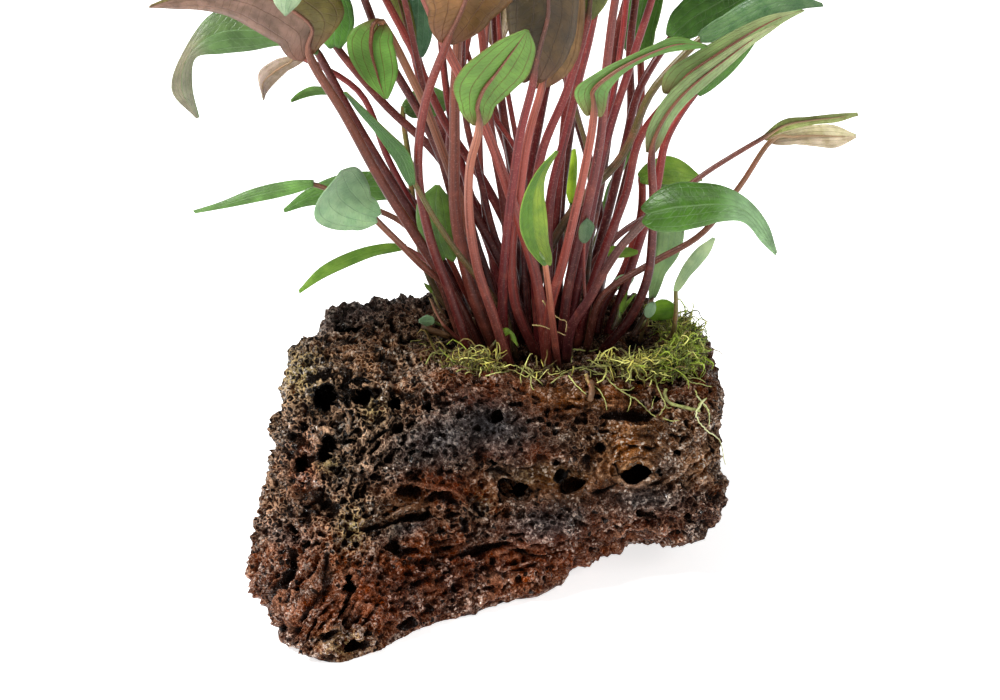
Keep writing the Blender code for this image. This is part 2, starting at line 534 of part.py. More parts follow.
def leaf_sections(name, line, rows, offset, stalk_spans, blade_spans):
    """Six-point sections of a leaf: round stalk that flattens into the blade."""
    foot_mm, neck_mm = STALK_RADII.get(name, (STALK_FOOT_RADIUS / MM, STALK_NECK_RADIUS / MM))
    stalk = spline(line, stalk_spans + 1)
    stalk = shifted(stalk, np.linspace(0, STALK_SHARE - 1, stalk_spans + 1), offset)
    fine = spline(rows.reshape(len(rows), 9)[:, [3, 4, 5, 0, 1, 2, 6, 7, 8]], blade_spans + 1)
    knots = np.linspace(STALK_SHARE - 1, KNOTS - 1, blade_spans + 1)
    middle = shifted(fine[:, 0:3], knots, offset)
    one = shifted(fine[:, 3:6], knots, offset)
    other = shifted(fine[:, 6:9], knots, offset)
    stalk[-1] = middle[0]
    tangents = np.gradient(stalk, axis=0)
    side = other[0] - one[0]
    frames = []
    for i in range(len(stalk) - 1, -1, -1):
        along = tangents[i] / np.linalg.norm(tangents[i])
        side = side - along * (side @ along)
        side = side / np.linalg.norm(side)
        frames.append((side, np.cross(side, along)))
    frames.reverse()
    sections = []
    for i in range(len(stalk) - 1):
        t = i / (len(stalk) - 1)
        radius = (foot_mm + (neck_mm - foot_mm) * t) * MM
        side, up = frames[i]
        if i == 0:
            side = side * (1.0, 1.0, 0.0)
            side = side / np.linalg.norm(side)
            up = np.cross(side, (0.0, 0.0, 1.0))
        ring = []
        for angle in (180, 120, 60, 0, -60, -120):
            turn = math.radians(angle)
            ring.append(stalk[i] + (side * math.cos(turn) + up * math.sin(turn)) * radius)
        sections.append(ring)
    blade_tangents = np.gradient(middle, axis=0)
    for i in range(len(middle)):
        s = i / (len(middle) - 1)
        along = blade_tangents[i] / np.linalg.norm(blade_tangents[i])
        across = other[i] - one[i]
        across = across / np.linalg.norm(across)
        up = np.cross(across, along)
        up = up / np.linalg.norm(up)
        bend = (one[i] + other[i]) / 2 - middle[i]
        half = (other[i] - one[i]) / 2
        if i == 0:
            half = across * neck_mm * MM
            bend = bend * 0.0
        thick = max(neck_mm * MM * 0.87 * (1.0 - s * 6.0), BLADE_HALF_THICKNESS * (1.0 - 0.45 * s))
        share = 0.5 if i == 0 else 0.42
        near = middle[i] - half * share + bend * share * share
        far = middle[i] + half * share + bend * share * share
        sections.append([
            middle[i] - half + bend,
            near + up * thick,
            far + up * thick,
            middle[i] + half + bend,
            far - up * thick,
            near - up * thick,
        ])
    return sections


def loft(name, sections, collection):
    """Closed solid through sections of equal point count."""
    mesh = bmesh.new()
    rings = [[mesh.verts.new(Vector(p)) for p in ring] for ring in sections]
    count = len(rings[0])
    for low, high in zip(rings[:-1], rings[1:]):
        for k in range(count):
            n = (k + 1) % count
            mesh.faces.new((low[k], low[n], high[n]))
            mesh.faces.new((low[k], high[n], high[k]))
    mesh.faces.new(list(reversed(rings[0])))
    mesh.faces.new(rings[-1])
    bmesh.ops.triangulate(mesh, faces=[f for f in mesh.faces if len(f.verts) > 3])
    bmesh.ops.recalc_face_normals(mesh, faces=mesh.faces)
    data = bpy.data.meshes.new(name)
    mesh.to_mesh(data)
    mesh.free()
    body = bpy.data.objects.new(name, data)
    collection.objects.link(body)
    return body


# Stone. Columns run up the outside, in mm, from the near left corner round by the right.
# Each column lists (x, y, z) from the foot to the rim of the top.
STONE_COLUMNS = [
    [(-50, -63, 0), (-55, -66, 4), (-56, -60, 13), (-56, -50, 22), (-57, -38, 36), (-55, -27, 49),
     (-50, -14, 60)],
    [(-37, -60, 0), (-40, -63, 4), (-42, -58, 13), (-42, -46, 22), (-42, -33, 36), (-41, -25, 50),
     (-38, -12, 62)],
    [(-26, -47, 0), (-28, -50, 4), (-29, -47, 13), (-28, -37, 23), (-29, -28, 37), (-28, -22, 51),
     (-26, -12, 63)],
    [(-13, -36, 0), (-15, -38, 4), (-16, -36, 13), (-15, -29, 24), (-15, -25, 38), (-15, -20, 52),
     (-14, -11, 64)],
    [(0, -27, 0), (0, -29, 4), (0, -28, 13), (0, -23, 25), (0, -20, 38), (0, -18, 51), (0, -10, 62)],
    [(15, -18, 0), (16, -22, 4), (16, -23, 13), (15, -21, 25), (14, -19, 38), (14, -18, 50), (13, -10, 61)],
    [(27, 4, 0), (29, -3, 6), (30, -13, 14), (30, -16, 26), (29, -17, 37), (29, -16, 49), (28, -9, 59)],
    [(38, 16, 0), (41, 4, 9), (44, -9, 15), (45, -13, 25), (44, -13, 36), (43, -12, 47), (41, -5, 57)],
    [(49, 20, 0), (57, -3, 9), (63, -9, 14), (62, -7, 25), (60, -4, 36), (61, -1, 47), (58, 4, 56)],
    [(52, 30, 0), (60, 24, 8), (65, 18, 16), (65, 17, 26), (65, 17, 38), (66, 19, 50), (61, 22, 59)],
    [(48, 46, 0), (56, 48, 8), (61, 48, 18), (64, 49, 28), (65, 48, 40), (63, 48, 52), (57, 46, 62)],
    [(36, 57, 0), (42, 61, 8), (46, 65, 18), (48, 67, 28), (50, 68, 41), (51, 68, 54), (46, 63, 64)],
    [(12, 60, 0), (14, 66, 7), (16, 70, 17), (17, 72, 28), (17, 72, 40), (16, 71, 53), (14, 66, 64)],
    [(-14, 58, 0), (-15, 63, 6), (-16, 67, 16), (-16, 69, 28), (-16, 70, 41), (-16, 68, 56), (-15, 63, 67)],
    [(-36, 50, 0), (-40, 54, 6), (-43, 58, 16), (-43, 60, 28), (-42, 61, 42), (-42, 60, 58), (-37, 56, 68)],
    [(-54, 28, 0), (-57, 31, 6), (-60, 34, 16), (-60, 35, 29), (-58, 36, 43), (-58, 37, 58), (-52, 34, 68)],
    [(-60, -2, 0), (-65, -2, 6), (-67, 0, 16), (-67, 2, 29), (-65, 5, 43), (-65, 8, 57), (-58, 10, 67)],
    [(-61, -33, 0), (-67, -34, 6), (-71, -31, 13), (-70, -25, 24), (-63, -20, 38), (-63, -14, 53),
     (-57, -6, 64)],
]
STONE_TOP_CENTRE = (12.0, 26.0)
PLANTING = (15.0, 27.0, 45.0, 31.0)
STONE_ROUND = 42
STONE_RISE = 14


def closed_spline(points, count):
    """Points on a smooth closed curve, evenly spaced in the control number."""
    points = np.asarray(points, dtype=float)
    size = len(points)
    result = []
    for t in np.arange(count) * size / count:
        i = int(math.floor(t))
        f = t - i
        a, b, c, d = (points[(i + k) % size] for k in (-1, 0, 1, 2))
        result.append(0.5 * (2 * b + (c - a) * f + (2 * a - 5 * b + 4 * c - d) * f ** 2
                             + (3 * b - a - 3 * c + d) * f ** 3))
    return np.array(result)


def stone_surface():
    """Stone body before pits: side rings, then top rings that close on the planting seat."""
    columns = np.array([spline(column, STONE_RISE) for column in STONE_COLUMNS])
    rings = []
    for k in range(STONE_RISE):
        rings.append(closed_spline(columns[:, k], STONE_ROUND) * MM)
    rim = rings[-1]
    centre = np.array((STONE_TOP_CENTRE[0] * MM, STONE_TOP_CENTRE[1] * MM, SEAT_HEIGHT))
    for share in (0.86, 0.70, 0.52, 0.27):
        ring = centre + (rim - centre) * share
        level = SEAT_HEIGHT + (rim[:, 2] - SEAT_HEIGHT) * max(share - 0.52, 0.0) / 0.48
        ring[:, 2] = level + 0.0015 * math.sin(math.pi * max(share - 0.5, 0.0) * 2)
        rings.append(ring)
    return rings, centre


def stone_noise(point):
    """Lumps and hollows of the stone, in metres along the outward direction."""
    where = Vector(point)
    lumps = noise.noise(where * 62.0) * 0.0038
    knobs = noise.noise(where * 135.0 + Vector((7.1, 0.4, 3.3))) * 0.0022
    return lumps + knobs


def in_planting(place):
    """True over the part of the top that the plant stands on."""
    across = (place[0] / MM - PLANTING[0]) / PLANTING[2]
    deep = (place[1] / MM - PLANTING[1]) / PLANTING[3]
    return across * across + deep * deep < 1.0


def build_stone(collection):
    """Lava stone with its lumps, before the pits are cut."""
    rings, centre = stone_surface()
    mesh = bmesh.new()
    middle = np.array((0.0, 0.01, 0.03))
    made = []
    for k, ring in enumerate(rings):
        row = []
        for point in ring:
            move = stone_noise(point)
            outward = point - middle
            outward = outward / np.linalg.norm(outward)
            place = point.copy()
            if k == 0:
                place[:2] += outward[:2] * move
            else:
                place += outward * move
                place[2] = max(place[2], 0.001)
            if k > STONE_RISE - 2 and in_planting(place):
                place[2] = min(place[2], SEAT_HEIGHT - GAP)
            row.append(mesh.verts.new(Vector(place)))
        made.append(row)
    count = STONE_ROUND
    for low, high in zip(made[:-1], made[1:]):
        for j in range(count):
            n = (j + 1) % count
            mesh.faces.new((low[j], low[n], high[n], high[j]))
    top = mesh.verts.new(Vector(centre))
    for j in range(count):
        mesh.faces.new((made[-1][j], made[-1][(j + 1) % count], top))
    mesh.faces.new(list(reversed(made[0])))
    bmesh.ops.recalc_face_normals(mesh, faces=mesh.faces)
    data = bpy.data.meshes.new("lava_stone")
    mesh.to_mesh(data)
    mesh.free()
    body = bpy.data.objects.new("lava_stone", data)
    collection.objects.link(body)
    return body


# Ledges and hollows pressed into the stone: (px, py, half width, half height, mm outward)
STROKES = [
    (404, 500, 36, 13, -5.5), (398, 524, 44, 8, -3.0), (418, 536, 36, 9, 2.8), (362, 560, 50, 16, 2.2),
    (345, 592, 15, 28, -4.2), (516, 488, 22, 17, -4.0), (572, 482, 20, 15, -3.6), (637, 470, 24, 15, -2.6),
    (637, 441, 36, 9, 2.6), (642, 497, 36, 8, 2.4), (612, 416, 40, 8, -2.4), (590, 400, 56, 9, 1.6),
    (468, 428, 50, 25, 3.2), (440, 468, 40, 10, -2.2), (330, 452, 16, 26, -3.0), (303, 466, 14, 26, -3.4),
    (352, 425, 26, 12, 2.0), (350, 482, 20, 26, 2.0), (545, 522, 56, 14, 2.8), (455, 552, 66, 9, -3.2),
    (560, 548, 50, 8, -1.8), (690, 470, 16, 28, -1.8), (692, 512, 20, 17, 2.2), (650, 518, 26, 9, -2.6),
    (300, 585, 14, 24, -2.8), (276, 558, 16, 22, 1.8), (322, 604, 12, 34, 2.4), (440, 590, 46, 11, -2.4),
    (500, 570, 46, 12, 1.8), (388, 602, 30, 16, 2.2), (350, 376, 28, 18, 1.8), (326, 402, 22, 18, -2.6),
    (392, 396, 26, 13, -2.6), (420, 345, 36, 14, 1.6), (350, 334, 20, 13, -2.0), (330, 640, 30, 8, 1.4),
    (700, 402, 16, 24, 1.6), (660, 396, 26, 11, -1.6), (520, 430, 18, 14, -1.4), (560, 450, 22, 10, 1.6),
]

# Pits cut into the stone's front: (px, py, width, height) as seen
PITS = [
    (326, 401, 30, 29), (362, 396, 20, 15), (392, 382, 17, 13), (390, 405, 22, 16), (350, 332, 22, 17),
    (326, 449, 17, 28), (359, 442, 38, 10), (303, 462, 22, 26), (396, 475, 10, 14), (497, 418, 18, 16),
    (493, 463, 14, 11), (556, 462, 14, 12), (576, 480, 16, 13), (637, 472, 32, 21), (655, 400, 15, 12),
    (639, 383, 13, 9), (604, 416, 10, 9), (675, 453, 15, 8), (645, 515, 20, 9), (390, 545, 20, 13),
    (407, 618, 15, 12), (540, 578, 14, 8), (296, 528, 12, 13), (430, 410, 12, 13), (355, 645, 26, 11),
    (515, 490, 26, 18), (680, 518, 16, 8), (345, 586, 20, 24),
]
# Pits of the sides and the back: (bearing in degrees, height, half width, half height in mm)
BACK_PITS = [(36, 36, 2.6, 3.4), (74, 24, 3.8, 2.8), (108, 44, 3.6, 3.0), (146, 26, 3.0, 2.6),
             (186, 42, 2.6, 3.6)]
STONE_AXIS = (0.0, 0.015)
LARGE_PIT = 13e-6


def surface_tree(body):
    """Search tree of a body's faces."""
    places = [v.co for v in body.data.vertices]
    return BVHTree.FromPolygons(places, [p.vertices for p in body.data.polygons])


def find_on_stone(tree, px, py):
    """Place and outward direction on the stone where the view shows (px, py)."""
    ray = view_ray(px, py)
    ray = ray / np.linalg.norm(ray)
    place, normal, _, _ = tree.ray_cast(Vector(EYE), Vector(ray))
    return place, normal


def shape_stone(stone):
    """Presses the ledges and hollows into the stone."""
    mesh = bmesh.new()
    mesh.from_mesh(stone.data)
    tree = BVHTree.FromBMesh(mesh)
    moves = {}
    for px, py, wide, high, amount in STROKES:
        place, normal = find_on_stone(tree, px, py)
        for vert in mesh.verts:
            offset = vert.co - place
            if offset.length > 0.02 or vert.co.z < 0.0015:
                continue
            across = offset.x / (wide * MM_PER_PIXEL * MM)
            up = offset.dot(Vector(VIEW_UP)) / (high * MM_PER_PIXEL * MM)
            share = math.exp(-(across * across + up * up) * 0.9)
            moves[vert] = moves.get(vert, Vector()) + normal * amount * MM * share
    for vert, move in moves.items():
        vert.co += move
        if in_planting(vert.co) and vert.co.z > SEAT_HEIGHT - 0.004:
            vert.co.z = min(vert.co.z, SEAT_HEIGHT - GAP)
    mesh.to_mesh(stone.data)
    mesh.free()


def pit_places(tree):
    """Place, inward direction and half sizes in metres of every pit."""
    places = []
    half_pixel = MM_PER_PIXEL * MM * 0.54
    for px, py, wide, high in PITS:
        place, normal = find_on_stone(tree, px, py)
        inward = (-normal + Vector(VIEW_FORWARD)).normalized()
        places.append((place, inward, wide * half_pixel, high * half_pixel))
    for bearing, height, wide, high in BACK_PITS:
        turn = math.radians(bearing)
        outward = Vector((math.cos(turn), math.sin(turn), 0.0))
        start = Vector((*STONE_AXIS, height * MM)) + outward * 0.2
        place, normal, _, _ = tree.ray_cast(start, -outward)
        places.append((place, -normal, wide * MM, high * MM))
    return places


def cut_pits(stone):
    """Cuts the pits with one ellipsoid each."""
    cutters = bpy.data.collections.new("pit_cutters")
    bpy.context.scene.collection.children.link(cutters)
    tree = surface_tree(stone)
    for i, (place, inward, half_width, half_height) in enumerate(pit_places(tree)):
        large = half_width * half_height > LARGE_PIT
        bpy.ops.mesh.primitive_ico_sphere_add(subdivisions=2 if large else 1, radius=1.0)
        cutter = bpy.context.object
        cutter.name = "pit_cutter_%02d" % (i + 1)
        for other in list(cutter.users_collection):
            other.objects.unlink(cutter)
        cutters.objects.link(cutter)
        cutter.hide_render = True
        cutter.display_type = "WIRE"
        deep = min(0.0055, 0.8 * min(half_width, half_height) + 0.001)
        across = inward.cross(Vector((0.0, 0.0, 1.0))).normalized()
        frame = Matrix((across, inward.cross(across), inward)).transposed().to_4x4()
        frame.translation = place + inward * deep * 0.35
        turn = Matrix.Rotation(0.4 * i, 4, "Z")
        size = Matrix.Diagonal((half_width, half_height, deep, 1.0))
        cutter.data.transform(frame @ size @ turn)
    cut = stone.modifiers.new("pits", "BOOLEAN")
    cut.operation = "DIFFERENCE"
    cut.solver = "EXACT"
    cut.operand_type = "COLLECTION"
    cut.collection = cutters
    view = bpy.context.evaluated_depsgraph_get()
    data = bpy.data.meshes.new_from_object(stone.evaluated_get(view))
    stone.modifiers.clear()
    stone.data = data
    mesh = bmesh.new()
    mesh.from_mesh(data)
    bmesh.ops.remove_doubles(mesh, verts=mesh.verts, dist=0.00005)
    bmesh.ops.triangulate(mesh, faces=mesh.faces)
    mesh.to_mesh(data)
    mesh.free()


def surface_height(tree, x, y):
    """Height of the stone's top at a place."""
    place, _, _, _ = tree.ray_cast(Vector((x, y, 0.2)), Vector((0.0, 0.0, -1.0)))
    return place.z


# Moss round the crown: (x, y, half width, height) in mm, from the left round the front to the right
MOSS_LINE = [(-20, 27, 2.2, 2.5), (-22, 17, 3.6, 5.0), (-17, 8.5, 4.2, 6.0), (-7, 3, 3.4, 6.0),
             (5, 1.2, 3.2, 4.5),
             (18, 1, 3.2, 4.5), (31, 2, 3.8, 5.5), (43, 4, 4.6, 6.0), (52, 10, 4.8, 6.5), (56, 21, 5.0, 7.5),
             (56, 33, 4.6, 8.0), (51, 43, 4.0, 6.0), (46, 50, 2.0, 2.5)]


def build_moss(collection, tree):
    """Low cushion of moss that lies on the stone in front of and beside the stalks."""
    path = np.array(MOSS_LINE, dtype=float)
    ahead = np.gradient(path[:, :2], axis=0)
    sections = []
    for (x, y, half, height), direction in zip(path, ahead):
        direction = direction / np.linalg.norm(direction)
        across = np.array((direction[1], -direction[0]))
        ring = []
        for u, rise in ((-1.0, 0.0), (-0.72, 0.62), (0.0, 1.0), (0.72, 0.62), (1.0, 0.0), (0.0, 0.0)):
            place = (np.array((x, y)) + across * half * u) * MM
            ground = max(surface_height(tree, place[0] + dx, place[1] + dy)
                         for dx in (-0.002, 0.0, 0.002) for dy in (-0.002, 0.0, 0.002))
            ring.append(np.array((place[0], place[1], ground + 0.0007 + rise * height * MM)))
        sections.append(ring)
    return loft("moss_cushion", sections, collection)


def build_strand(name, collection, tree, route, radius, lift):
    """Root that hangs over the face of the stone."""
    line = []
    for px, py in route:
        place, normal = find_on_stone(tree, px, py)
        line.append(np.array(place + normal * (radius + lift)))
    line = spline(line, len(route) * 2 + 1)
    sections = []
    side = np.array((1.0, 0.0, 0.0))
    tangents = np.gradient(line, axis=0)
    for place, along in zip(line, tangents):
        along = along / np.linalg.norm(along)
        side = side - along * (side @ along)
        side = side / np.linalg.norm(side)
        up = np.cross(side, along)
        sections.append([place + (side * math.cos(a) + up * math.sin(a)) * radius
                         for a in np.linspace(0.0, 2.0 * math.pi, 6, endpoint=False)])
    return loft(name, sections, collection)


STUB_START = (-24.0, 31.0, 65.4)
STUB_END = (-15.0, 30.0, 62.6)
STUB_RADIUS = 1.05


def build_stub(collection):
    """Short cut end of an old stalk at the left of the crown."""
    start = Vector(STUB_START) * MM
    end = Vector(STUB_END) * MM
    bpy.ops.mesh.primitive_cylinder_add(vertices=8, radius=STUB_RADIUS * MM, depth=(end - start).length)
    stub = bpy.context.object
    stub.name = "cut_stalk_stub"
    turn = (end - start).to_track_quat("Z", "Y").to_matrix().to_4x4()
    turn.translation = (start + end) / 2
    stub.data.transform(turn)
    for other in list(stub.users_collection):
        other.objects.unlink(stub)
    collection.objects.link(stub)
    return stub


def clear_scene():
    """Empties the file."""
    for item in list(bpy.data.objects):
        bpy.data.objects.remove(item, do_unlink=True)


# Base colours
COLOURS = {
    "stone": (0.075, 0.040, 0.027),
    "moss": (0.30, 0.34, 0.07),
    "root": (0.16, 0.07, 0.04),
    "stalk": (0.20, 0.045, 0.045),
    "green": (0.12, 0.24, 0.05),
    "light": (0.27, 0.38, 0.13),
    "blue": (0.10, 0.19, 0.12),
    "pink": (0.30, 0.17, 0.12),
    "brown": (0.17, 0.12, 0.085),
    "olive": (0.21, 0.21, 0.07),
}
LEAF_COLOURS = {
    "leaf_pink_left": "pink", "leaf_small_beige_left": "pink", "leaf_big_brown": "brown",
    "leaf_big_dark": "brown", "leaf_olive_top_left": "olive", "leaf_pink_front_stalk": "olive", "leaf_olive_top": "olive",
    "leaf_light_front": "light", "leaf_pale_arching": "light", "leaf_far_right_lower": "pink",
    "leaf_far_right_upper": "olive", "leaf_round_left": "blue", "leaf_blue_right": "blue",
    "leaf_dark_upright_left": "blue", "leaf_olive_oval": "olive", "leaf_pink_behind": "pink",
    "leaf_small_light_right": "light", "leaf_yellow_edge": "light", "leaf_folded_centre": "light",
    "leaf_grey_between": "blue",
}


def paint(body, colour, roughness):
    """Gives a body its own material."""
    material = bpy.data.materials.new(body.name + "_material")
    material.use_nodes = True
    shader = material.node_tree.nodes["Principled BSDF"]
    shader.inputs["Base Color"].default_value = (*COLOURS[colour], 1.0)
    shader.inputs["Roughness"].default_value = roughness
    body.data.materials.clear()
    body.data.materials.append(material)


def blade_spans(blade):
    """Spans along a blade, fewer on the small and the free-standing ones."""
    if blade[0] == GROWN:
        return 5
    return min(max(len(blade) - 1, 4), 6)


def main():
    """Builds the stone, the moss and roots on it, and the leaves."""
    clear_scene()
    collection = bpy.data.collections.new("cryptocoryne_on_lava_stone")
    bpy.context.scene.collection.children.link(collection)
    stone = build_stone(collection)
    shape_stone(stone)
    tree = surface_tree(stone)
    paint(build_moss(collection, tree), "moss", 0.8)
    paint(build_strand("thick_root", collection, tree, [(589, 387), (590, 393), (588, 401)], 0.0009, 0.0013),
          "root", 0.6)
    paint(build_strand("hanging_root", collection, tree,
                       [(665, 392), (664, 398), (669, 405), (682, 409),
                        (697, 411)], 0.0005, 0.0008), "root", 0.6)
    paint(build_stub(collection), "root", 0.6)
    cut_pits(stone)
    paint(stone, "stone", 0.55)
    lines = leaf_lines()
    offsets = push_apart(lines)
    for name, _, _, blade, _, _ in LEAVES:
        line, rows = lines[name]
        stalk_spans = 5 if len(line) > 5 else 3
        sections = leaf_sections(name, line, rows, offsets[name], stalk_spans, blade_spans(blade))
        paint(loft(name, sections, collection), LEAF_COLOURS.get(name, "green"), 0.5)


main()
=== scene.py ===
"""Cryptocoryne on a lava stone: leaves, stone, moss and roots, dressed over its plain solids."""

import json
import math
import random

import bmesh
import bpy
import numpy as np
from mathutils import Matrix, Vector, kdtree, noise
from mathutils.bvhtree import BVHTree


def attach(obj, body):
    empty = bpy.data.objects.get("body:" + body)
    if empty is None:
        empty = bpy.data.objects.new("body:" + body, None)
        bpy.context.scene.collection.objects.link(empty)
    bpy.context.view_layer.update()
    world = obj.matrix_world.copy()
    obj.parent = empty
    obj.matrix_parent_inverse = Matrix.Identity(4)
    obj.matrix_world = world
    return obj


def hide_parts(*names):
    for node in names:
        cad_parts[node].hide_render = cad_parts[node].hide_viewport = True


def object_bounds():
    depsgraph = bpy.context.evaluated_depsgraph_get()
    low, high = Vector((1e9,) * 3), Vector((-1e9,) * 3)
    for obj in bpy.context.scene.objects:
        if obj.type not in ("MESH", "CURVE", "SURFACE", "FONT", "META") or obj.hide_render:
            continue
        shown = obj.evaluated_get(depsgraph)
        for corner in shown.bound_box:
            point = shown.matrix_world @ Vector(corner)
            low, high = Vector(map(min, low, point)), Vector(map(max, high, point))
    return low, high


bl_info = {
    "name": "Cryptocoryne on lava stone",
    "version": (1, 0, 0),
    "blender": (4, 5, 0),
    "location": "3D View > Sidebar > Plant",
    "description": "Dresses a water plant and the lava stone it grows on",
    "category": "Object",
}

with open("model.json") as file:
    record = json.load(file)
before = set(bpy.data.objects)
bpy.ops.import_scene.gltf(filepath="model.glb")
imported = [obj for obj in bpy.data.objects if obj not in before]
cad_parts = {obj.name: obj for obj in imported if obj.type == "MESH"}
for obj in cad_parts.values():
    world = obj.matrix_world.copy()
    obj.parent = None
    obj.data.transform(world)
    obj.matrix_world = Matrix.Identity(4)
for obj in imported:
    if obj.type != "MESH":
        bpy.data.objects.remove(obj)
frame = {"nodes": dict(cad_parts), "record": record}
CAD_LOW, CAD_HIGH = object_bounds()
BODY = "root"
MM = 0.001

# The view that pieces are placed by, in pixels of a 1000 by 700 image
VIEW_TILT = math.radians(20.0)
VIEW_DISTANCE = 0.8
PIXEL = 0.0003
VIEW_WIDTH = 1000.0
VIEW_CENTRE = (500.0, 350.0)
AIM = np.array((0.0, 0.020, 0.062))
FORWARD = np.array((0.0, math.cos(VIEW_TILT), -math.sin(VIEW_TILT)))
UPWARD = np.array((0.0, math.sin(VIEW_TILT), math.cos(VIEW_TILT)))
EYE = AIM - FORWARD * VIEW_DISTANCE


def view_ray(px, py):
    """Direction from the eye through a point of the view."""
    across = (px - VIEW_CENTRE[0]) * PIXEL / VIEW_DISTANCE
    up = -(py - VIEW_CENTRE[1]) * PIXEL / VIEW_DISTANCE
    return FORWARD + UPWARD * up + np.array((across, 0.0, 0.0))


def seen_at(px, py, depth):
    """Point seen at (px, py) whose Y is depth, in millimetres."""
    ray = view_ray(px, py)
    return EYE + ray * ((depth * MM - EYE[1]) / ray[1])


def seen_on(tree, px, py):
    """Place where the view meets a surface, or None."""
    ray = view_ray(px, py)
    return tree.ray_cast(Vector(EYE), Vector(ray / np.linalg.norm(ray)))[0]


def pixels_of(points):
    """Where the view shows each of an array of points."""
    offset = points - EYE
    ahead = offset @ FORWARD
    scale = VIEW_DISTANCE / PIXEL / ahead
    return VIEW_CENTRE[0] + offset[:, 0] * scale, VIEW_CENTRE[1] - (offset @ UPWARD) * scale


def smooth(low, high, value):
    """0 below low, 1 above high and a smooth step between."""
    t = np.clip((np.asarray(value, dtype=float) - low) / (high - low), 0.0, 1.0)
    return t * t * (3.0 - 2.0 * t)


def along_curve(points, t):
    """Points of a smooth curve through rows of numbers, with t counted in rows."""
    points = np.asarray(points, dtype=float)
    t = np.clip(np.atleast_1d(t), 0.0, len(points) - 1.000001)
    i = t.astype(int)
    f = (t - i).reshape((-1,) + (1,) * (points.ndim - 1))
    wide = np.concatenate((2 * points[:1] - points[1:2], points, 2 * points[-1:] - points[-2:-1]))
    a, b, c, d = wide[i], wide[i + 1], wide[i + 2], wide[i + 3]
    square = (2 * a - 5 * b + 4 * c - d) * f ** 2
    cube = (3 * b - a - 3 * c + d) * f ** 3
    return 0.5 * (2 * b + (c - a) * f + square + cube)


def unit(rows):
    """Rows scaled to length one."""
    rows = np.asarray(rows, dtype=float)
    return rows / np.maximum(np.linalg.norm(rows, axis=-1, keepdims=True), 1e-12)


def settings():
    """The add-on's settings on the scene."""
    return bpy.context.scene.plant_settings


# Shared modelling steps
def deselect():
    """Leaves nothing selected."""
    for item in bpy.context.selected_objects:
        item.select_set(False)


def only(*bodies):
    """Selects these bodies and no others, and makes the first one active."""
    deselect()
    for body in bodies:
        body.select_set(True)
    bpy.context.view_layer.objects.active = bodies[0]


def new_object(name, data):
    """A new object in the scene."""
    made = bpy.data.objects.new(name, data)
    bpy.context.scene.collection.objects.link(made)
    return made


def shape_grid(name, across, along, place):
    """A grid whose points go to place(u, s): u runs from -1 to 1 across and s from 0 to 1 along."""
    deselect()
    bpy.ops.mesh.primitive_grid_add(x_subdivisions=across, y_subdivisions=along, size=1.0)
    body = bpy.context.object
    body.name = name
    flat = np.empty(len(body.data.vertices) * 3)
    body.data.vertices.foreach_get("co", flat)
    flat = flat.reshape(-1, 3)
    u = flat[:, 0] * 2.0
    s = flat[:, 1] + 0.5
    body.data.vertices.foreach_set("co", place(u, s).ravel())
    body.data.update()
    return body, u, s


def weld(body, distance):
    """Joins points closer than distance."""
    mesh = bmesh.new()
    mesh.from_mesh(body.data)
    bmesh.ops.remove_doubles(mesh, verts=mesh.verts, dist=distance)
    mesh.to_mesh(body.data)
    mesh.free()


def cap_holes(body):
    """Closes the open ends of a tube."""
    mesh = bmesh.new()
    mesh.from_mesh(body.data)
    rims = [e for e in mesh.edges if e.is_boundary]
    bmesh.ops.holes_fill(mesh, edges=rims, sides=0)
    mesh.to_mesh(body.data)
    mesh.free()


def apply_modifier(body, kind, **values):
    """Adds a modifier to a body and applies it."""
    only(body)
    made = body.modifiers.new(kind.lower(), kind)
    for key, value in values.items():
        setattr(made, key, value)
    bpy.ops.object.modifier_apply(modifier=made.name)


def join(bodies, name):
    """Joins bodies into the first one."""
    only(*bodies)
    bpy.ops.object.join()
    bodies[0].name = name
    return bodies[0]


def shade_smooth(body):
    """Smooth shading all over."""
    body.data.polygons.foreach_set("use_smooth", [True] * len(body.data.polygons))
    body.data.update()


def set_values(body, name, values):
    """Stores one number for each point of a body."""
    layer = body.data.attributes.get(name) or body.data.attributes.new(name, "FLOAT", "POINT")
    layer.data.foreach_set("value", np.asarray(values, dtype=np.float32))


def set_colours(body, name, colours):
    """Stores one colour for each point of a body."""
    layer = body.data.attributes.get(name) or body.data.attributes.new(name, "FLOAT_COLOR", "POINT")
    full = np.ones((len(body.data.vertices), 4), dtype=np.float32)
    full[:, :3] = colours
    layer.data.foreach_set("color", full.ravel())


def welded_mesh(node):
    """A node's mesh as one joined bmesh."""
    mesh = bmesh.new()
    mesh.from_mesh(node.data)
    bmesh.ops.remove_doubles(mesh, verts=mesh.verts, dist=0.00001)
    return mesh


def solid_copy(node, name):
    """A new body in the form of a node."""
    mesh = welded_mesh(frame["nodes"][node])
    data = bpy.data.meshes.new(name)
    mesh.to_mesh(data)
    mesh.free()
    return new_object(name, data)


def surface_tree(data):
    """Search tree of a mesh's faces."""
    return BVHTree.FromPolygons([v.co for v in data.vertices], [p.vertices for p in data.polygons])


def point_tree(points):
    """Search tree of an array of points."""
    tree = kdtree.KDTree(len(points))
    for i, point in enumerate(points):
        tree.insert(point, i)
    tree.balance()
    return tree


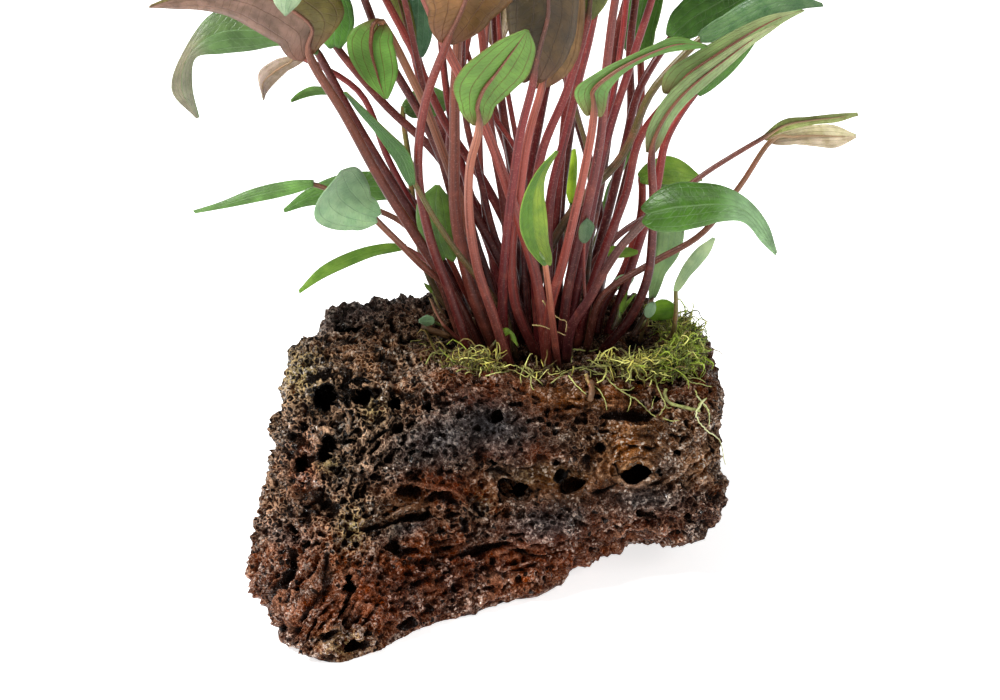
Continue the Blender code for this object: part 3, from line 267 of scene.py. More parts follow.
def tube_mesh(name, paths, sides):
    """One body of many round strands. A path is a list of rows (x, y, z, radius)."""
    points = []
    faces = []
    turn = np.linspace(0.0, 2.0 * math.pi, sides, endpoint=False)
    for path in paths:
        path = np.asarray(path, dtype=float)
        line = path[:, :3]
        ahead = unit(np.gradient(line, axis=0))
        side = np.array((0.31, 0.17, 0.93))
        first = len(points)
        for place, radius, direction in zip(line, path[:, 3], ahead):
            side = side - direction * (side @ direction)
            side = unit(side)
            up = np.cross(direction, side)
            for a in turn:
                points.append(place + (side * math.cos(a) + up * math.sin(a)) * radius)
        rings = len(line)
        for r in range(rings - 1):
            for k in range(sides):
                n = (k + 1) % sides
                low = first + r * sides
                faces.append((low + k, low + n, low + sides + n, low + sides + k))
        faces.append(tuple(first + k for k in reversed(range(sides))))
        last = first + (rings - 1) * sides
        faces.append(tuple(last + k for k in range(sides)))
    data = bpy.data.meshes.new(name)
    data.from_pydata([tuple(p) for p in points], [], faces)
    body = new_object(name, data)
    shade_smooth(body)
    return body


# Materials
class Nodes:
    """Short ways to write a material's nodes."""

    def __init__(self, name):
        self.material = bpy.data.materials.new(name)
        self.material.use_nodes = True
        self.tree = self.material.node_tree
        self.shader = self.tree.nodes["Principled BSDF"]

    def node(self, kind, output, inputs=(), **values):
        """An output of a new node that has these inputs and settings."""
        made = self.tree.nodes.new("ShaderNode" + kind)
        for key, value in values.items():
            setattr(made, key, value)
        for key, source in (inputs.items() if isinstance(inputs, dict) else enumerate(inputs)):
            self.link(source, made.inputs[key])
        return made.outputs[output]

    def link(self, source, target):
        """Links an output, or sets a plain value."""
        if isinstance(source, bpy.types.NodeSocket):
            self.tree.links.new(source, target)
        elif isinstance(source, tuple) and len(source) == 3 and target.type == "RGBA":
            target.default_value = (*source, 1.0)
        else:
            target.default_value = source

    def place(self):
        """Object coordinates in metres."""
        return self.node("TexCoord", "Object")

    def own_map(self):
        """The piece's own map."""
        return self.node("UVMap", "UV", uv_map="UVMap")

    def value(self, name):
        """A number stored on the piece's points."""
        return self.node("Attribute", "Fac", attribute_name=name)

    def colour(self, name):
        """A colour stored on the piece's points."""
        return self.node("Attribute", "Color", attribute_name=name)

    def noise(self, vector, scale, detail=4.0, roughness=0.6, distortion=0.0):
        """Soft random pattern from 0 to 1."""
        return self.node("TexNoise", "Fac", {"Vector": vector, "Scale": scale, "Detail": detail,
                                             "Roughness": roughness, "Distortion": distortion})

    def cells(self, vector, scale):
        """Distance from the walls of random cells."""
        return self.node("TexVoronoi", "Distance", {"Vector": vector, "Scale": scale},
                         feature="DISTANCE_TO_EDGE")

    def cell_tone(self, vector, scale):
        """Random value of each cell."""
        cell = self.node("TexVoronoi", "Color", {"Vector": vector, "Scale": scale})
        return self.node("SeparateColor", 0, (cell,))

    def warp(self, vector, scale, amount):
        """A vector bent about by a noise."""
        shift = self.node("TexNoise", "Color", {"Vector": vector, "Scale": scale})
        return self.node("VectorMath", 0, (shift, (amount, amount, amount), vector), operation="MULTIPLY_ADD")

    def grey(self, value):
        """A grey of the given brightness, which may pass 1."""
        return self.node("CombineXYZ", 0, (value, value, value))

    def math(self, operation, *values):
        """One sum."""
        return self.node("Math", 0, values, operation=operation)

    def times(self, a, b):
        """Product of two values."""
        return self.math("MULTIPLY", a, b)

    def most(self, a, b):
        """The larger of two values."""
        return self.math("MAXIMUM", a, b)

    def scaled(self, value, factor, start):
        """A value times a factor, plus a start."""
        return self.math("MULTIPLY_ADD", value, factor, start)

    def waves(self, value):
        """Humps between 0 and 1 along a value."""
        return self.math("ABSOLUTE", self.math("SINE", value))

    def step(self, value, low, high, start=0.0, end=1.0):
        """Smooth step of a value from low to high."""
        return self.node("MapRange", 0, (value, low, high, start, end), interpolation_type="SMOOTHSTEP")

    def fall(self, value, low, high):
        """Smooth step from 1 down to 0."""
        return self.step(value, low, high, 1.0, 0.0)

    def mix(self, share, a, b, kind="MIX"):
        """Mixes two colours."""
        return self.node("Mix", 2, {0: share, 6: a, 7: b}, data_type="RGBA", blend_type=kind)

    def tint(self, colour, other):
        """A colour times another."""
        return self.mix(1.0, colour, other, "MULTIPLY")

    def dim(self, colour, value):
        """A colour times a value."""
        return self.tint(colour, self.grey(value))

    def richer(self, colour, hue, saturation):
        """A colour with its hue turned and its saturation changed."""
        return self.node("HueSaturation", "Color", {"Color": colour, "Saturation": saturation, "Hue": hue})

    def bump(self, height, distance, strength):
        """Small relief from a height pattern."""
        return self.node("Bump", "Normal", {"Height": height, "Distance": distance, "Strength": strength})

    def finish(self, colour, roughness, normal, specular, **more):
        """Sets the shader's inputs and returns the material."""
        self.link(colour, self.shader.inputs["Base Color"])
        self.link(roughness, self.shader.inputs["Roughness"])
        self.link(specular, self.shader.inputs["Specular IOR Level"])
        self.link(normal, self.shader.inputs["Normal"])
        for key, value in more.items():
            self.shader.inputs[key.replace("_", " ")].default_value = value
        return self.material


# Painted shade: the black of gaps and low places, and of pores and hollows, in the stone
GAP_SHADE_TONE = (0.005, 0.002, 0.001)
PORE_SHADE_TONE = (0.004, 0.002, 0.001)


def stone_material():
    """Wet porous lava: painted black shade in hollows, brown body, pale froth walls, charcoal, rust, glazed
    swirls.
    """
    n = Nodes("wet_lava")
    names = ("cavity", "hollow", "crest", "edge", "gain", "rust", "froth", "coal", "glaze", "ochre")
    cavity, hollow, crest, edge, gain, rust, froth, coal, glaze, ochre = (n.value(name) for name in names)
    where = n.place()
    warped = n.warp(where, 420.0, 0.0012)
    wide = n.noise(where, 60.0, 4.0, 0.6)
    cluster = n.noise(where, 170.0, 3.0, 0.6)
    speck = n.noise(where, 800.0, 4.0, 0.7, 0.4)
    grain = n.noise(where, 2600.0, 2.0, 0.7)
    crumb = n.cells(warped, 640.0)
    crumb_tone = n.cell_tone(warped, 640.0)
    dust = n.cells(warped, 1500.0)
    dust_tone = n.cell_tone(warped, 1500.0)
    # Raised parts, where the pale walls and the painted highlights and glints are kept
    ridge = n.fall(cavity, -0.10, 0.50)

    # Body and pale tones of each kind of lava
    body = n.mix(n.step(wide, 0.35, 0.65), (0.024, 0.010, 0.004), (0.088, 0.035, 0.013))
    body = n.mix(rust, body, n.mix(n.step(wide, 0.35, 0.62), (0.048, 0.009, 0.003), (0.170, 0.038, 0.008)))
    glazed = n.mix(n.step(cluster, 0.35, 0.65), (0.050, 0.018, 0.004), (0.240, 0.088, 0.020))
    body = n.mix(glaze, body, glazed)
    body = n.mix(coal, body, n.mix(n.step(speck, 0.4, 0.7), (0.011, 0.009, 0.009), (0.060, 0.053, 0.053)))
    body = n.dim(body, n.scaled(dust_tone, 0.9, 0.6))
    pale = n.mix(rust, (0.74, 0.51, 0.33), (0.76, 0.38, 0.23))
    pale = n.mix(glaze, pale, (0.62, 0.36, 0.18))
    pale = n.mix(ochre, pale, (0.66, 0.54, 0.25))
    pale = n.mix(coal, pale, (0.22, 0.205, 0.21))

    # Open pores, later painted black as shade, and pale walls between them and pale patches, kept to raised
    # parts and partly painted highlight
    share = n.scaled(glaze, -0.10, n.scaled(rust, -0.13, 0.15))
    share = n.scaled(froth, 0.42, share)
    pore = n.times(n.fall(n.math("SUBTRACT", crumb_tone, share), -0.02, 0.02), n.step(crumb, 0.06, 0.22))
    wall = n.times(n.fall(crumb, 0.02, 0.16), n.step(speck, 0.36, 0.56))
    wall = n.times(wall, n.scaled(froth, 0.75, 0.30))
    patch = n.times(n.step(cluster, 0.40, 0.66), n.step(dust_tone, 0.25, 0.80))
    light = n.most(wall, n.times(patch, n.step(speck, 0.38, 0.60)))
    light = n.times(n.times(light, ridge), n.scaled(glaze, -0.35, gain))

    # Pale crests and rims, partly their own colour and partly painted highlight, and the broad change from
    # dark to light
    line = n.times(n.step(crest, 0.35, 1.0), n.step(speck, 0.34, 0.60, 0.15, 0.80))
    line = n.most(line, n.times(edge, n.step(speck, 0.28, 0.50, 0.35, 0.95)))
    line = n.times(line, n.step(dust_tone, 0.10, 0.80, 0.34, 1.20))
    light = n.most(light, n.times(line, n.scaled(coal, -0.6, 1.0)))
    tone = n.mix(light, body, pale)
    tone = n.dim(tone, n.step(n.noise(where, 95.0, 3.0, 0.6), 0.34, 0.64, 0.55, 1.36))

    # Painted glints: pale spots on raised parts that stand for reflections of the light, then painted shade
    # in gaps, pores, low places and hollows
    glint = n.times(n.step(n.scaled(rust, 0.10, dust_tone), 0.78, 0.86), n.step(cluster, 0.42, 0.60))
    glint = n.times(glint, n.times(ridge, gain))
    glint = n.times(glint, n.scaled(coal, -0.7, 1.0))
    tone = n.mix(n.times(glint, 0.75), tone, n.mix(rust, (0.80, 0.68, 0.54), (0.86, 0.58, 0.45)))
    tone = n.richer(tone, 0.492, n.step(coal, 0.2, 0.8, 1.12, 1.0))
    gap = n.times(n.fall(dust, 0.0, 0.10), n.step(speck, 0.40, 0.60, 0.75, 0.0))
    tone = n.mix(gap, tone, GAP_SHADE_TONE)
    tone = n.mix(n.times(pore, n.scaled(glaze, -0.6, 0.94)), tone, PORE_SHADE_TONE)
    # Painted shade: low places darkened towards black
    tone = n.mix(n.step(cavity, -0.05, 0.75, 0.0, 0.96), tone, GAP_SHADE_TONE)
    # Painted shade inside pits, bubbles, bowls and grooves, a dark rust on rust
    inner = n.mix(rust, PORE_SHADE_TONE, (0.018, 0.005, 0.002))
    tone = n.mix(n.step(hollow, 0.20, 0.70, 0.0, 0.985), tone, inner)

    # Fine relief and the wet shine
    height = n.scaled(speck, 0.8, n.times(grain, 0.4))
    height = n.scaled(n.step(dust, 0.0, 0.25), n.scaled(rust, 0.45, 0.35), height)
    height = n.scaled(pore, -1.1, height)
    rough = n.step(dust_tone, 0.1, 0.8, 0.48, 0.16)
    wet = n.times(n.step(cluster, 0.38, 0.62), n.times(ridge, n.step(dust_tone, 0.3, 0.9)))
    gloss = n.scaled(n.times(wet, gain), 0.95, 0.08)
    return n.finish(tone, rough, n.bump(height, 0.0012, 1.0), gloss)


# Side veins in each half of a blade, in its form and in its finish, and the colour of dark spots
VEIN_ROWS = 2.6
SPOT_TONE = (0.03, 0.02, 0.01)


def blade_material(name, dark, light, vein, vein_share, cross_share, roughness, base=None, sheen=0.0):
    """Leaf face: mottled colour, midrib and arching side veins, fine cross veins."""
    n = Nodes(name)
    across = n.scaled(n.node("SeparateXYZ", 0, (n.own_map(),)), 2.0, -1.0)
    along = n.node("SeparateXYZ", 1, (n.own_map(),))
    where = n.place()
    blotch = n.noise(where, 240.0, 4.0, 0.6)
    fine = n.noise(where, 1500.0, 3.0, 0.7)

    # Midrib, side veins and cross veins, none quite straight
    wander = n.noise(where, 160.0, 2.0)
    side = n.math("ABSOLUTE", n.scaled(n.math("SUBTRACT", wander, 0.5), 0.07, across))
    rows = n.waves(n.times(side, math.pi * VEIN_ROWS))
    veins = n.times(n.fall(rows, 0.02, 0.20), n.fall(side, 0.80, 0.97))
    middle = n.fall(side, 0.015, 0.055)
    slope = n.scaled(side, 9.0, n.times(along, 78.0))
    cross = n.fall(n.waves(n.scaled(wander, 7.0, slope)), 0.0, 0.34)

    # Mottled colour, shaded by the blade's own tones
    shade = n.colour("shade")
    tone = n.tint(n.mix(n.step(blotch, 0.32, 0.68), dark, light), shade)
    tone = n.dim(tone, n.step(n.noise(where, 75.0, 3.0, 0.55), 0.30, 0.70, 0.76, 1.20))
    tone = n.mix(n.step(fine, 0.45, 0.75, 0.0, 0.28), tone, n.tint(light, shade))
    if base is not None:
        tone = n.mix(n.step(along, 0.0, 0.15, 0.60, 0.0), tone, base)
    rim = n.step(n.math("ABSOLUTE", across), 0.93, 1.0, 0.0, 0.35)
    for share in (n.times(cross, cross_share), n.times(veins, vein_share),
                  n.times(middle, min(1.0, vein_share * 1.6)), rim):
        tone = n.mix(share, tone, vein)
    speck = n.step(n.noise(where, 420.0, 1.0, 0.4), 0.73, 0.78, 0.0, 0.7)
    tone = n.mix(n.times(speck, n.value("spots")), tone, SPOT_TONE)

    relief = n.scaled(veins, -0.5, n.times(cross, -0.22))
    relief = n.scaled(fine, 0.22, relief)
    relief = n.scaled(blotch, 0.5, relief)
    rough = n.step(fine, 0.3, 0.7, roughness - 0.07, roughness + 0.08)
    return n.finish(tone, rough, n.bump(relief, 0.00035, 0.8), 0.36, Subsurface_Weight=0.12,
                    Subsurface_Radius=(0.6, 1.0, 0.3), Subsurface_Scale=0.0008, Sheen_Weight=sheen)


def stalk_material():
    """Fleshy stalk: colour from the leaf, long streaks and fine pale dots."""
    n = Nodes("stalk_skin")
    where = n.place()
    long = n.node("Mapping", "Vector", {"Vector": n.own_map(), "Scale": (9.0, 2.2, 1.0)})
    streak = n.noise(long, 2.0, 3.0, 0.6)
    dots = n.step(n.noise(where, 1900.0, 2.0, 0.5), 0.56, 0.70)
    blotch = n.noise(where, 170.0, 3.0, 0.6)
    tone = n.mix(n.step(streak, 0.30, 0.60, 0.75, 0.0), n.colour("shade"), (0.030, 0.006, 0.006))
    tone = n.mix(n.step(blotch, 0.48, 0.78, 0.0, 0.32), tone, (0.38, 0.095, 0.056))
    tone = n.mix(n.times(dots, 0.24), tone, (0.56, 0.25, 0.20))
    relief = n.scaled(dots, 0.4, n.times(streak, 0.9))
    return n.finish(tone, n.step(blotch, 0.3, 0.7, 0.30, 0.43), n.bump(relief, 0.00012, 0.6), 0.34)


def moss_material():
    """Thin translucent moss strands, yellow-green to olive, with dark brown patches and darker feet."""
    n = Nodes("moss_strand")
    where = n.place()
    blotch = n.noise(where, 420.0, 3.0, 0.6)
    tone = n.mix(n.step(blotch, 0.40, 0.70, 0.0, 0.35), n.colour("shade"), (0.60, 0.60, 0.14))
    tone = n.mix(n.step(blotch, 0.60, 0.72, 0.0, 0.55), tone, (0.16, 0.11, 0.03))
    return n.finish(tone, 0.42, n.bump(n.noise(where, 2600.0, 2.0), 0.0002, 0.5), 0.45)


def root_material():
    """Brown woody roots with pale worn skin."""
    n = Nodes("root_skin")
    blotch = n.noise(n.place(), 700.0, 4.0, 0.65)
    tone = n.mix(n.step(blotch, 0.38, 0.62, 0.0, 0.6), n.colour("shade"), (0.05, 0.022, 0.010))
    return n.finish(tone, n.step(blotch, 0.3, 0.7, 0.35, 0.7), n.bump(blotch, 0.0005, 0.8), 0.4)


def floor_material(colour):
    """Matt pale floor with the faintest mottling."""
    n = Nodes("pale_floor")
    where = n.place()
    soft = n.noise(where, 6.0, 3.0)
    tone = n.mix(n.step(soft, 0.3, 0.7), colour, tuple(0.985 * c for c in colour))
    return n.finish(tone, 0.9, n.bump(n.noise(where, 300.0), 0.0002, 0.1), 0.1,
                    Emission_Color=(1.0, 1.0, 1.0, 1.0), Emission_Strength=0.72)


class Look:
    """What tells a leaf from the usual one, which is green over pale on a wine red stalk.

    front and back are the finishes of the face towards the view and of the one behind it, and stalk the kind
    of stalk. heart is how far the blade's base runs back beside the stalk, as a share of its half width, rib
    how thick the midrib is, as a share of the stalk, and hollow how much of the solid's hollow across the
    blade is kept. spots is how strong its dark spots are, shades are the blade's colour against its finish at
    the base, at the tip, in the left half and in the right half, and span is where along the blade the tip's
    colour comes in. The shades are partly the leaf's own colour and partly painted light and shade: the
    halves are painted darker and lighter for the shaded and the lit side of the blade's fold, some blades are
    painted lighter where they lie in shade, and one is painted paler at the tip for a sheen.
    """

    def __init__(self, front="green", back="pale", stalk="wine", heart=0.1, rib=None, hollow=1.0, spots=0.15,
                 span=None, shades=None):
        self.front = front
        self.back = back
        self.stalk = stalk
        self.heart = heart
        self.rib = rib
        self.hollow = hollow
        self.spots = spots
        self.span = span
        self.shades = shades


# Looks of single leaves, and two shades that come back in them. DARKER, always on a blade's right half, is
# painted shade on one side of its fold
PLAIN = (1.0, 1.0, 1.0)
DARKER = (0.85, 0.9, 0.85)
LOOKS = {
    "leaf_pink_left": Look("pink", "green", stalk="mauve", rib=0.45, shades=(
        (0.72, 0.62, 0.68), (1.0, 0.92, 1.05), (0.98, 0.94, 1.05), (0.72, 0.98, 0.34))),
    "leaf_curled_left": Look("green", "pink", span=(0.52, 0.68), shades=(
        (1.2, 0.88, 1.9), (2.45, 0.98, 4.2), (1.05, 1.0, 1.0), (0.9, 0.95, 0.95))),
    "leaf_small_beige_left": Look("beige", "green", rib=0.45, shades=(
        (0.92, 0.8, 1.05), (1.08, 0.92, 1.3), PLAIN, PLAIN)),
    "leaf_olive_top_left": Look("green", "olive"),
    "leaf_hanging_green": Look("pale", "green", stalk="terracotta", heart=0.2, hollow=0.2, shades=(
        (1.0, 1.05, 0.95), (1.0, 1.12, 1.0), PLAIN, (0.92, 0.98, 0.92))),
    "leaf_big_brown": Look("rosy", "green", shades=(
        (0.92, 0.8, 0.62), (1.02, 0.93, 0.72), (1.08, 1.05, 1.0), (0.92, 0.95, 1.0))),
    "leaf_light_front": Look("pale", "green", stalk="terracotta", hollow=0.35, shades=(
        (0.84, 0.86, 0.72), (0.8, 0.84, 0.7), (1.04, 1.06, 1.05), (0.94, 0.95, 0.9))),
    "leaf_big_dark": Look("brown", "green", heart=0.2, shades=(
        (0.74, 0.62, 0.5), (0.7, 0.62, 0.54), (0.84, 0.9, 0.9), (1.14, 1.08, 1.05))),
    "leaf_pink_front_stalk": Look("rosy", "green", stalk="mauve"),
    "leaf_olive_top": Look("olive", "green"),
    "leaf_blue_right": Look("blue", "pale", stalk="olive", shades=(
        (1.15, 1.1, 0.8), (1.4, 1.25, 1.1), PLAIN, DARKER)),
    "leaf_pale_arching": Look("pale", "green", heart=0.35, rib=0.6, hollow=0.5, span=(0.3, 1.0), shades=(
        (1.35, 1.08, 1.8), (2.3, 1.45, 3.5), (1.1, 1.05, 1.1), (0.9, 0.95, 0.9))),
    "leaf_grey_arching": Look("pale", "green", rib=0.5, span=(0.3, 1.0), shades=(
        (1.45, 1.1, 2.3), (2.4, 1.4, 3.8), PLAIN, (0.9, 0.95, 0.9))),
    "leaf_heart_centre": Look("pale", "green", stalk="mauve", heart=0.3, hollow=0.5, shades=(
        (1.0, 1.02, 1.3), (0.55, 0.7, 0.5), PLAIN, (0.9, 0.94, 0.9))),
    # Painted light and shade: the left half darker and the right half lighter, for the two sides of the fold
    "leaf_folded_centre": Look("bright", "green", stalk="terracotta", hollow=0.25, shades=(
        (0.84, 0.8, 0.5), (0.96, 0.92, 0.6), (0.58, 0.82, 0.44), (1.2, 1.15, 1.3))),
    # Painted light: a beige finish made greener, lighter than the leaf's own olive, since it lies poorly lit
    "leaf_far_right_upper": Look("beige", "pink", stalk="terracotta", shades=(
        (1.0, 1.3, 0.72), (1.22, 1.55, 1.05), PLAIN, PLAIN)),
    "leaf_far_right_lower": Look("beige", "green", stalk="terracotta", shades=(
        (0.92, 0.82, 0.94), (1.1, 1.03, 1.24), (1.0, 1.08, 0.95), PLAIN)),
    "leaf_small_light_right": Look("frosted", "pale", stalk="olive", shades=(
        (1.05, 0.92, 0.76), (1.25, 1.05, 1.0), PLAIN, PLAIN)),
    "leaf_speckled_right": Look("frosted", "pale", stalk="olive", heart=0.2, spots=1.0, shades=(
        (0.95, 0.92, 0.62), (1.0, 0.95, 0.78), PLAIN, (0.8, 0.85, 0.78))),
    "leaf_round_left": Look("frosted", "pale", stalk="terracotta", heart=0.16, shades=(
        (0.74, 0.76, 0.68), (0.9, 0.88, 0.92), (1.05, 1.03, 1.05), (0.92, 0.95, 0.92))),
    "leaf_narrow_low_left": Look("bright", "pale", stalk="terracotta", shades=(
        (0.98, 1.08, 1.35), (1.2, 1.32, 1.9), PLAIN, DARKER)),
    "leaf_olive_oval": Look("green", "olive", heart=0.25, shades=(
        (1.15, 1.0, 0.75), (1.3, 1.1, 0.8), (0.8, 0.86, 0.8), PLAIN)),
    "leaf_dark_upright_left": Look("blue", "olive"),
    "leaf_pink_behind": Look("pink", "green"),
    "leaf_bright_right": Look("bright", "pale"),
    # Painted light: the blade, which lies in shade, is painted much lighter
    "leaf_yellow_edge": Look("bright", "pale", stalk="green", shades=(
        (2.6, 2.4, 1.6), (3.1, 2.8, 2.0), PLAIN, DARKER)),
    "leaf_bright_short": Look("bright", "pale", stalk="green"),
    "leaf_round_bright": Look("bright", "pale", stalk="green", shades=(
        (0.95, 1.2, 0.8), (1.1, 1.35, 1.0), PLAIN, (0.8, 0.86, 0.8))),
    "leaf_grey_between": Look("blue", "pale", shades=((1.2, 1.1, 0.9), (1.5, 1.35, 1.2), PLAIN, PLAIN)),
    "leaf_spoon_left": Look("frosted", "pale", stalk="green", shades=(
        (0.8, 0.86, 0.72), (1.05, 1.02, 1.0), PLAIN, (0.8, 0.85, 0.8))),
    "leaf_narrow_far_left": Look(stalk="terracotta", shades=(
        (1.2, 1.1, 1.5), (1.5, 1.3, 2.0), PLAIN, PLAIN)),
    "leaf_sheathed_stalk": Look(stalk="mauve"),
    "leaf_long_front_stalk": Look(stalk="mauve"),
    "leaf_stalk_e": Look(stalk="mauve"),
    "leaf_green_behind_left": Look(stalk="olive"),
    "leaf_strap_left": Look(stalk="olive", shades=(
        (0.44, 0.62, 0.3), (0.34, 0.54, 0.22), (0.85, 0.9, 0.9), PLAIN)),
    "leaf_narrow_behind": Look(stalk="green"),
    # Painted sheen: the tip is painted pale grey-green
    "leaf_glossy_right": Look(stalk="fading", heart=0.22, span=(0.42, 0.66), shades=(
        (0.5, 0.6, 0.24), (2.05, 1.48, 4.8), PLAIN, PLAIN)),
    "leaf_bright_behind_right": Look(shades=((0.8, 0.92, 0.42), (0.95, 1.08, 0.5), PLAIN, DARKER)),
    "leaf_small_green_left": Look(shades=((1.3, 1.2, 1.4), (1.45, 1.3, 1.5), PLAIN, DARKER)),
}

# Finishes whose midrib stands out on the side towards the view, and the midrib's colour in each finish
RED_RIB = ("pale", "pink", "rosy", "brown", "olive", "beige")
RIB_TONES = {
    "pale": (0.20, 0.075, 0.035), "pink": (0.24, 0.10, 0.060), "rosy": (0.20, 0.075, 0.045),
    "brown": (0.14, 0.055, 0.035), "beige": (0.40, 0.27, 0.14), "olive": (0.11, 0.060, 0.022),
    "green": (0.14, 0.24, 0.07), "bright": (0.22, 0.36, 0.09), "blue": (0.10, 0.15, 0.07),
}

# How thick the midrib is, as a share of the stalk, behind a blade and on the side that shows
HIDDEN_RIB_SHARE = 0.40
SHOWN_RIB_SHARE = 0.58

# Colour of each kind of stalk at its foot and at its neck
STALK_TONES = {
    "wine": ((0.110, 0.009, 0.009), (0.200, 0.025, 0.018)),
    "mauve": ((0.215, 0.033, 0.026), (0.285, 0.072, 0.044)),
    "fading": ((0.120, 0.020, 0.020), (0.150, 0.090, 0.058)),
    "terracotta": ((0.150, 0.028, 0.022), (0.280, 0.105, 0.062)),
    "olive": ((0.080, 0.050, 0.018), (0.125, 0.110, 0.030)),
    "green": ((0.090, 0.050, 0.018), (0.150, 0.210, 0.050)),
}

# How a leaf's solid is read: faces round it, where a blade's inner points lie, and how much wider it starts
RING = 6
INNER_SHARE = 0.42
BLADE_START = 1.3

# Grids of a leaf's stalk and blade, their share for a small leaf, and how far up the blade the midrib runs
STALK_ROUND = 12
STALK_ALONG = 52
BLADE_ACROSS = 16
BLADE_ALONG = 34
SMALL_GRID = 0.6
RIB_REACH = 0.86


class Leaf:
    """Centre line, widths and blade rows of one leaf."""

    def __init__(self, centres, sides, radii, rows):
        self.centres = np.asarray(centres)
        self.sides = unit(sides)
        self.radii = np.asarray(radii)
        self.rows = np.asarray(rows)

    @classmethod
    def from_node(cls, node):
        """Reads the leaf's sections back from its solid."""
        sections = read_sections(node)
        widths = np.linalg.norm(sections[:, 0] - sections[:, 3], axis=1)
        neck = next(i for i in range(2, len(widths) - 1) if widths[i + 1] > BLADE_START * widths[i])
        stalk = sections[:neck]
        blade = sections[neck:]
        ends = (blade[:, 0] + blade[:, 3]) / 2
        body = blade[:, (1, 2, 4, 5)].mean(axis=1)
        bend = (ends - body) / (1.0 - INNER_SHARE ** 2)
        bend[0] = 0.0
        middle = ends - bend
        half = (blade[:, 3] - blade[:, 0]) / 2
        centres = np.concatenate((stalk.mean(axis=1), middle[:1]))
        sides = np.concatenate((stalk[:, 3] - stalk[:, 0], half[:1]))
        return cls(centres, sides, widths[:neck + 1] / 2, np.stack((middle, half, bend), axis=1))

    @classmethod
    def from_view(cls, route, depth, foot_depth, radius, stations, change, edges):
        """A small leaf from what the view shows: stalk route and blade stations in pixels."""
        share = np.linspace(0.0, 1.0, len(route))
        depths = foot_depth + (depth - foot_depth) * share
        centres = [seen_at(px, py, y) for (px, py), y in zip(route, depths)]
        rows = []
        last = len(stations) - 1
        for i, station in enumerate(stations):
            place = depth + change * i / last
            if len(station) == 2:
                tip = seen_at(*station, place)
                rows.append((tip, rows[-1][1] * 0.04, rows[-1][2] * 0.0))
                continue
            one = seen_at(station[0], station[1], place)
            other = seen_at(station[2], station[3], place)
            half = (other - one) / 2
            lift = np.array((0.0, edges * np.linalg.norm(half), 0.0))
            rows.append(((one + other) / 2, half, lift))
        centres[-1] = rows[0][0]
        sides = [rows[0][1]] * len(centres)
        radii = np.linspace(radius, radius * 0.75, len(centres)) * MM
        rows[0] = (rows[0][0], unit(rows[0][1]) * radii[-1], rows[0][2] * 0.0)
        return cls(centres, sides, radii, rows)

    def middle(self, t):
        """Midrib of the blade."""
        return along_curve(self.rows[:, 0], t)

    def surface(self, u, s, heart, wave, phase, under):
        """Points of the blade's sheet; under is the sign of its lower side."""
        t = s * (len(self.rows) - 1)
        middle = self.middle(t)
        ahead = unit(self.middle(t + 0.02) - self.middle(t - 0.02))
        half = along_curve(self.rows[:, 1], np.maximum(t, 1.0))
        bend = along_curve(self.rows[:, 2], t)
        neck = np.linalg.norm(self.rows[0, 1])
        first = np.linalg.norm(self.rows[1, 1])
        start = neck + (0.66 * first - neck) * min(1.0, heart * 2.5)
        base = np.clip(t, 0.0, 1.0)
        width = start + (first - start) * np.sin(base * math.pi / 2) ** 0.85
        width = np.where(t < 1.0, width, np.linalg.norm(half, axis=1))
        turned = unit(along_curve(self.rows[:, 1], t))
        side = np.where((t < 1.0)[:, None], unit(turned + unit(half)), unit(half))
        lift = np.cross(side, ahead) * -under
        back = heart * first * (1.0 - base) ** 1.5 * np.sin(0.80 * math.pi * np.abs(u) ** 1.1)
        points = middle + side * (u * width)[:, None] + bend * (u * u)[:, None] - ahead * back[:, None]
        ripple = np.sin(s * 15.0 + phase + np.sign(u) * 1.1) * np.abs(u) ** 3 * smooth(0.0, 0.25, s) * wave
        quilt = np.sin(np.abs(u) * math.pi * VEIN_ROWS) ** 2 * 0.022
        groove = -np.exp(-(u / 0.07) ** 2) * 0.03
        fade = np.sin(np.clip(s, 0.02, 0.98) * math.pi) ** 0.5
        return points + lift * ((ripple + (quilt + groove) * fade) * first)[:, None]


def read_sections(node):
    """Six-point sections of a leaf's solid from foot to tip, the blade's edges at 0 and 3."""
    mesh = welded_mesh(node)
    order = sorted(mesh.verts, key=lambda v: v.co.z)[:RING]
    centre = sum((v.co for v in order), Vector()) / RING
    ring = sorted(order, key=lambda v: math.atan2(v.co.y - centre.y, v.co.x - centre.x))
    seen = set(ring)
    rings = [ring]
    while True:
        around = [{e.other_vert(v) for e in v.link_edges} - seen for v in ring]
        if not any(around):
            break
        ring = [next(iter(around[k - 1] & around[k])) for k in range(RING)]
        seen.update(ring)
        rings.append(ring)
    sections = np.array([[tuple(v.co) for v in ring] for ring in rings])
    mesh.free()
    opposite = RING // 2
    spans = np.linalg.norm(sections - np.roll(sections, -opposite, axis=1), axis=2).max(axis=0)[:opposite]
    return np.roll(sections, -int(np.argmax(spans)), axis=1)


